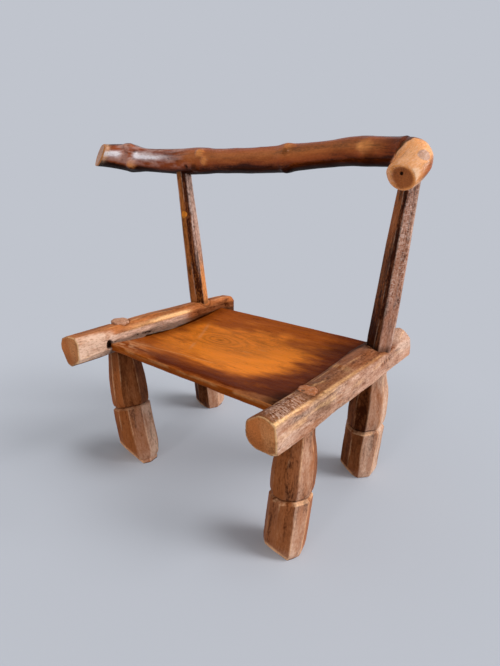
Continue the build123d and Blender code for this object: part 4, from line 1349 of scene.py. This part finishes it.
class CHAIR_OT_rails(bpy.types.Operator):
    """Make both rails"""

    bl_idname = "chair.rails"
    bl_label = "Rails"

    def execute(self, context):
        material = wood("rail_wood", context.scene.rail_finish)
        for name in RAILS:
            rail(name, material)
        return {"FINISHED"}


class CHAIR_OT_legs(bpy.types.Operator):
    """Make the four legs"""

    bl_idname = "chair.legs"
    bl_label = "Legs"

    def execute(self, context):
        material = wood("leg_wood", context.scene.leg_finish)
        for name in LEGS:
            leg(name, material)
        return {"FINISHED"}


class CHAIR_OT_posts(bpy.types.Operator):
    """Make both posts"""

    bl_idname = "chair.posts"
    bl_label = "Posts"

    def execute(self, context):
        material = wood("post_wood", context.scene.post_finish)
        for name in POSTS:
            post(name, material)
        return {"FINISHED"}


class CHAIR_OT_crest(bpy.types.Operator):
    """Make the branch that serves as crest rail"""

    bl_idname = "chair.crest"
    bl_label = "Crest Rail"

    def execute(self, context):
        crest(wood("crest_wood", context.scene.crest_finish))
        return {"FINISHED"}


class CHAIR_OT_stage(bpy.types.Operator):
    """Make the floor, the lights and the camera"""

    bl_idname = "chair.stage"
    bl_label = "Stage"

    def execute(self, context):
        settings = context.scene.stage_settings
        context.scene.view_settings.view_transform = "Standard"
        floor(settings)
        for name, placing in LAMPS.items():
            lamp(name, *placing)
        sky(settings)
        camera()
        return {"FINISHED"}


GROUPS = {
    "seat_finish": SeatFinish,
    "rail_finish": RailFinish,
    "leg_finish": LegFinish,
    "post_finish": PostFinish,
    "crest_finish": CrestFinish,
    "stage_settings": StageSettings,
}
OPERATORS = (CHAIR_OT_seat, CHAIR_OT_rails, CHAIR_OT_legs, CHAIR_OT_posts, CHAIR_OT_crest, CHAIR_OT_stage)


class CHAIR_PT_panel(bpy.types.Panel):
    """The chair's pieces and their finishes"""

    bl_idname = "CHAIR_PT_panel"
    bl_label = "Chair"
    bl_space_type = "VIEW_3D"
    bl_region_type = "UI"
    bl_category = "Chair"

    def draw(self, context):
        for made, (key, group) in zip(OPERATORS, GROUPS.items()):
            box = self.layout.box()
            box.operator(made.bl_idname)
            for entry in group.__annotations__:
                box.prop(getattr(context.scene, key), entry)


def register():
    """Registers the classes and hangs each group of settings on the scene."""
    for made in (*GROUPS.values(), *OPERATORS, CHAIR_PT_panel):
        bpy.utils.register_class(made)
    for key, group in GROUPS.items():
        setattr(bpy.types.Scene, key, bpy.props.PointerProperty(type=group))


def unregister():
    """Takes the settings and the classes away again."""
    for key in GROUPS:
        delattr(bpy.types.Scene, key)
    for made in reversed((*GROUPS.values(), *OPERATORS, CHAIR_PT_panel)):
        bpy.utils.unregister_class(made)


def main():
    """Builds the chair and its stage."""
    register()
    for made in OPERATORS:
        group, _, action = made.bl_idname.partition(".")
        if getattr(getattr(bpy.ops, group), action)() != {"FINISHED"}:
            raise RuntimeError(f"{made.bl_label} was not made")


if __name__ == "__main__":
    main()
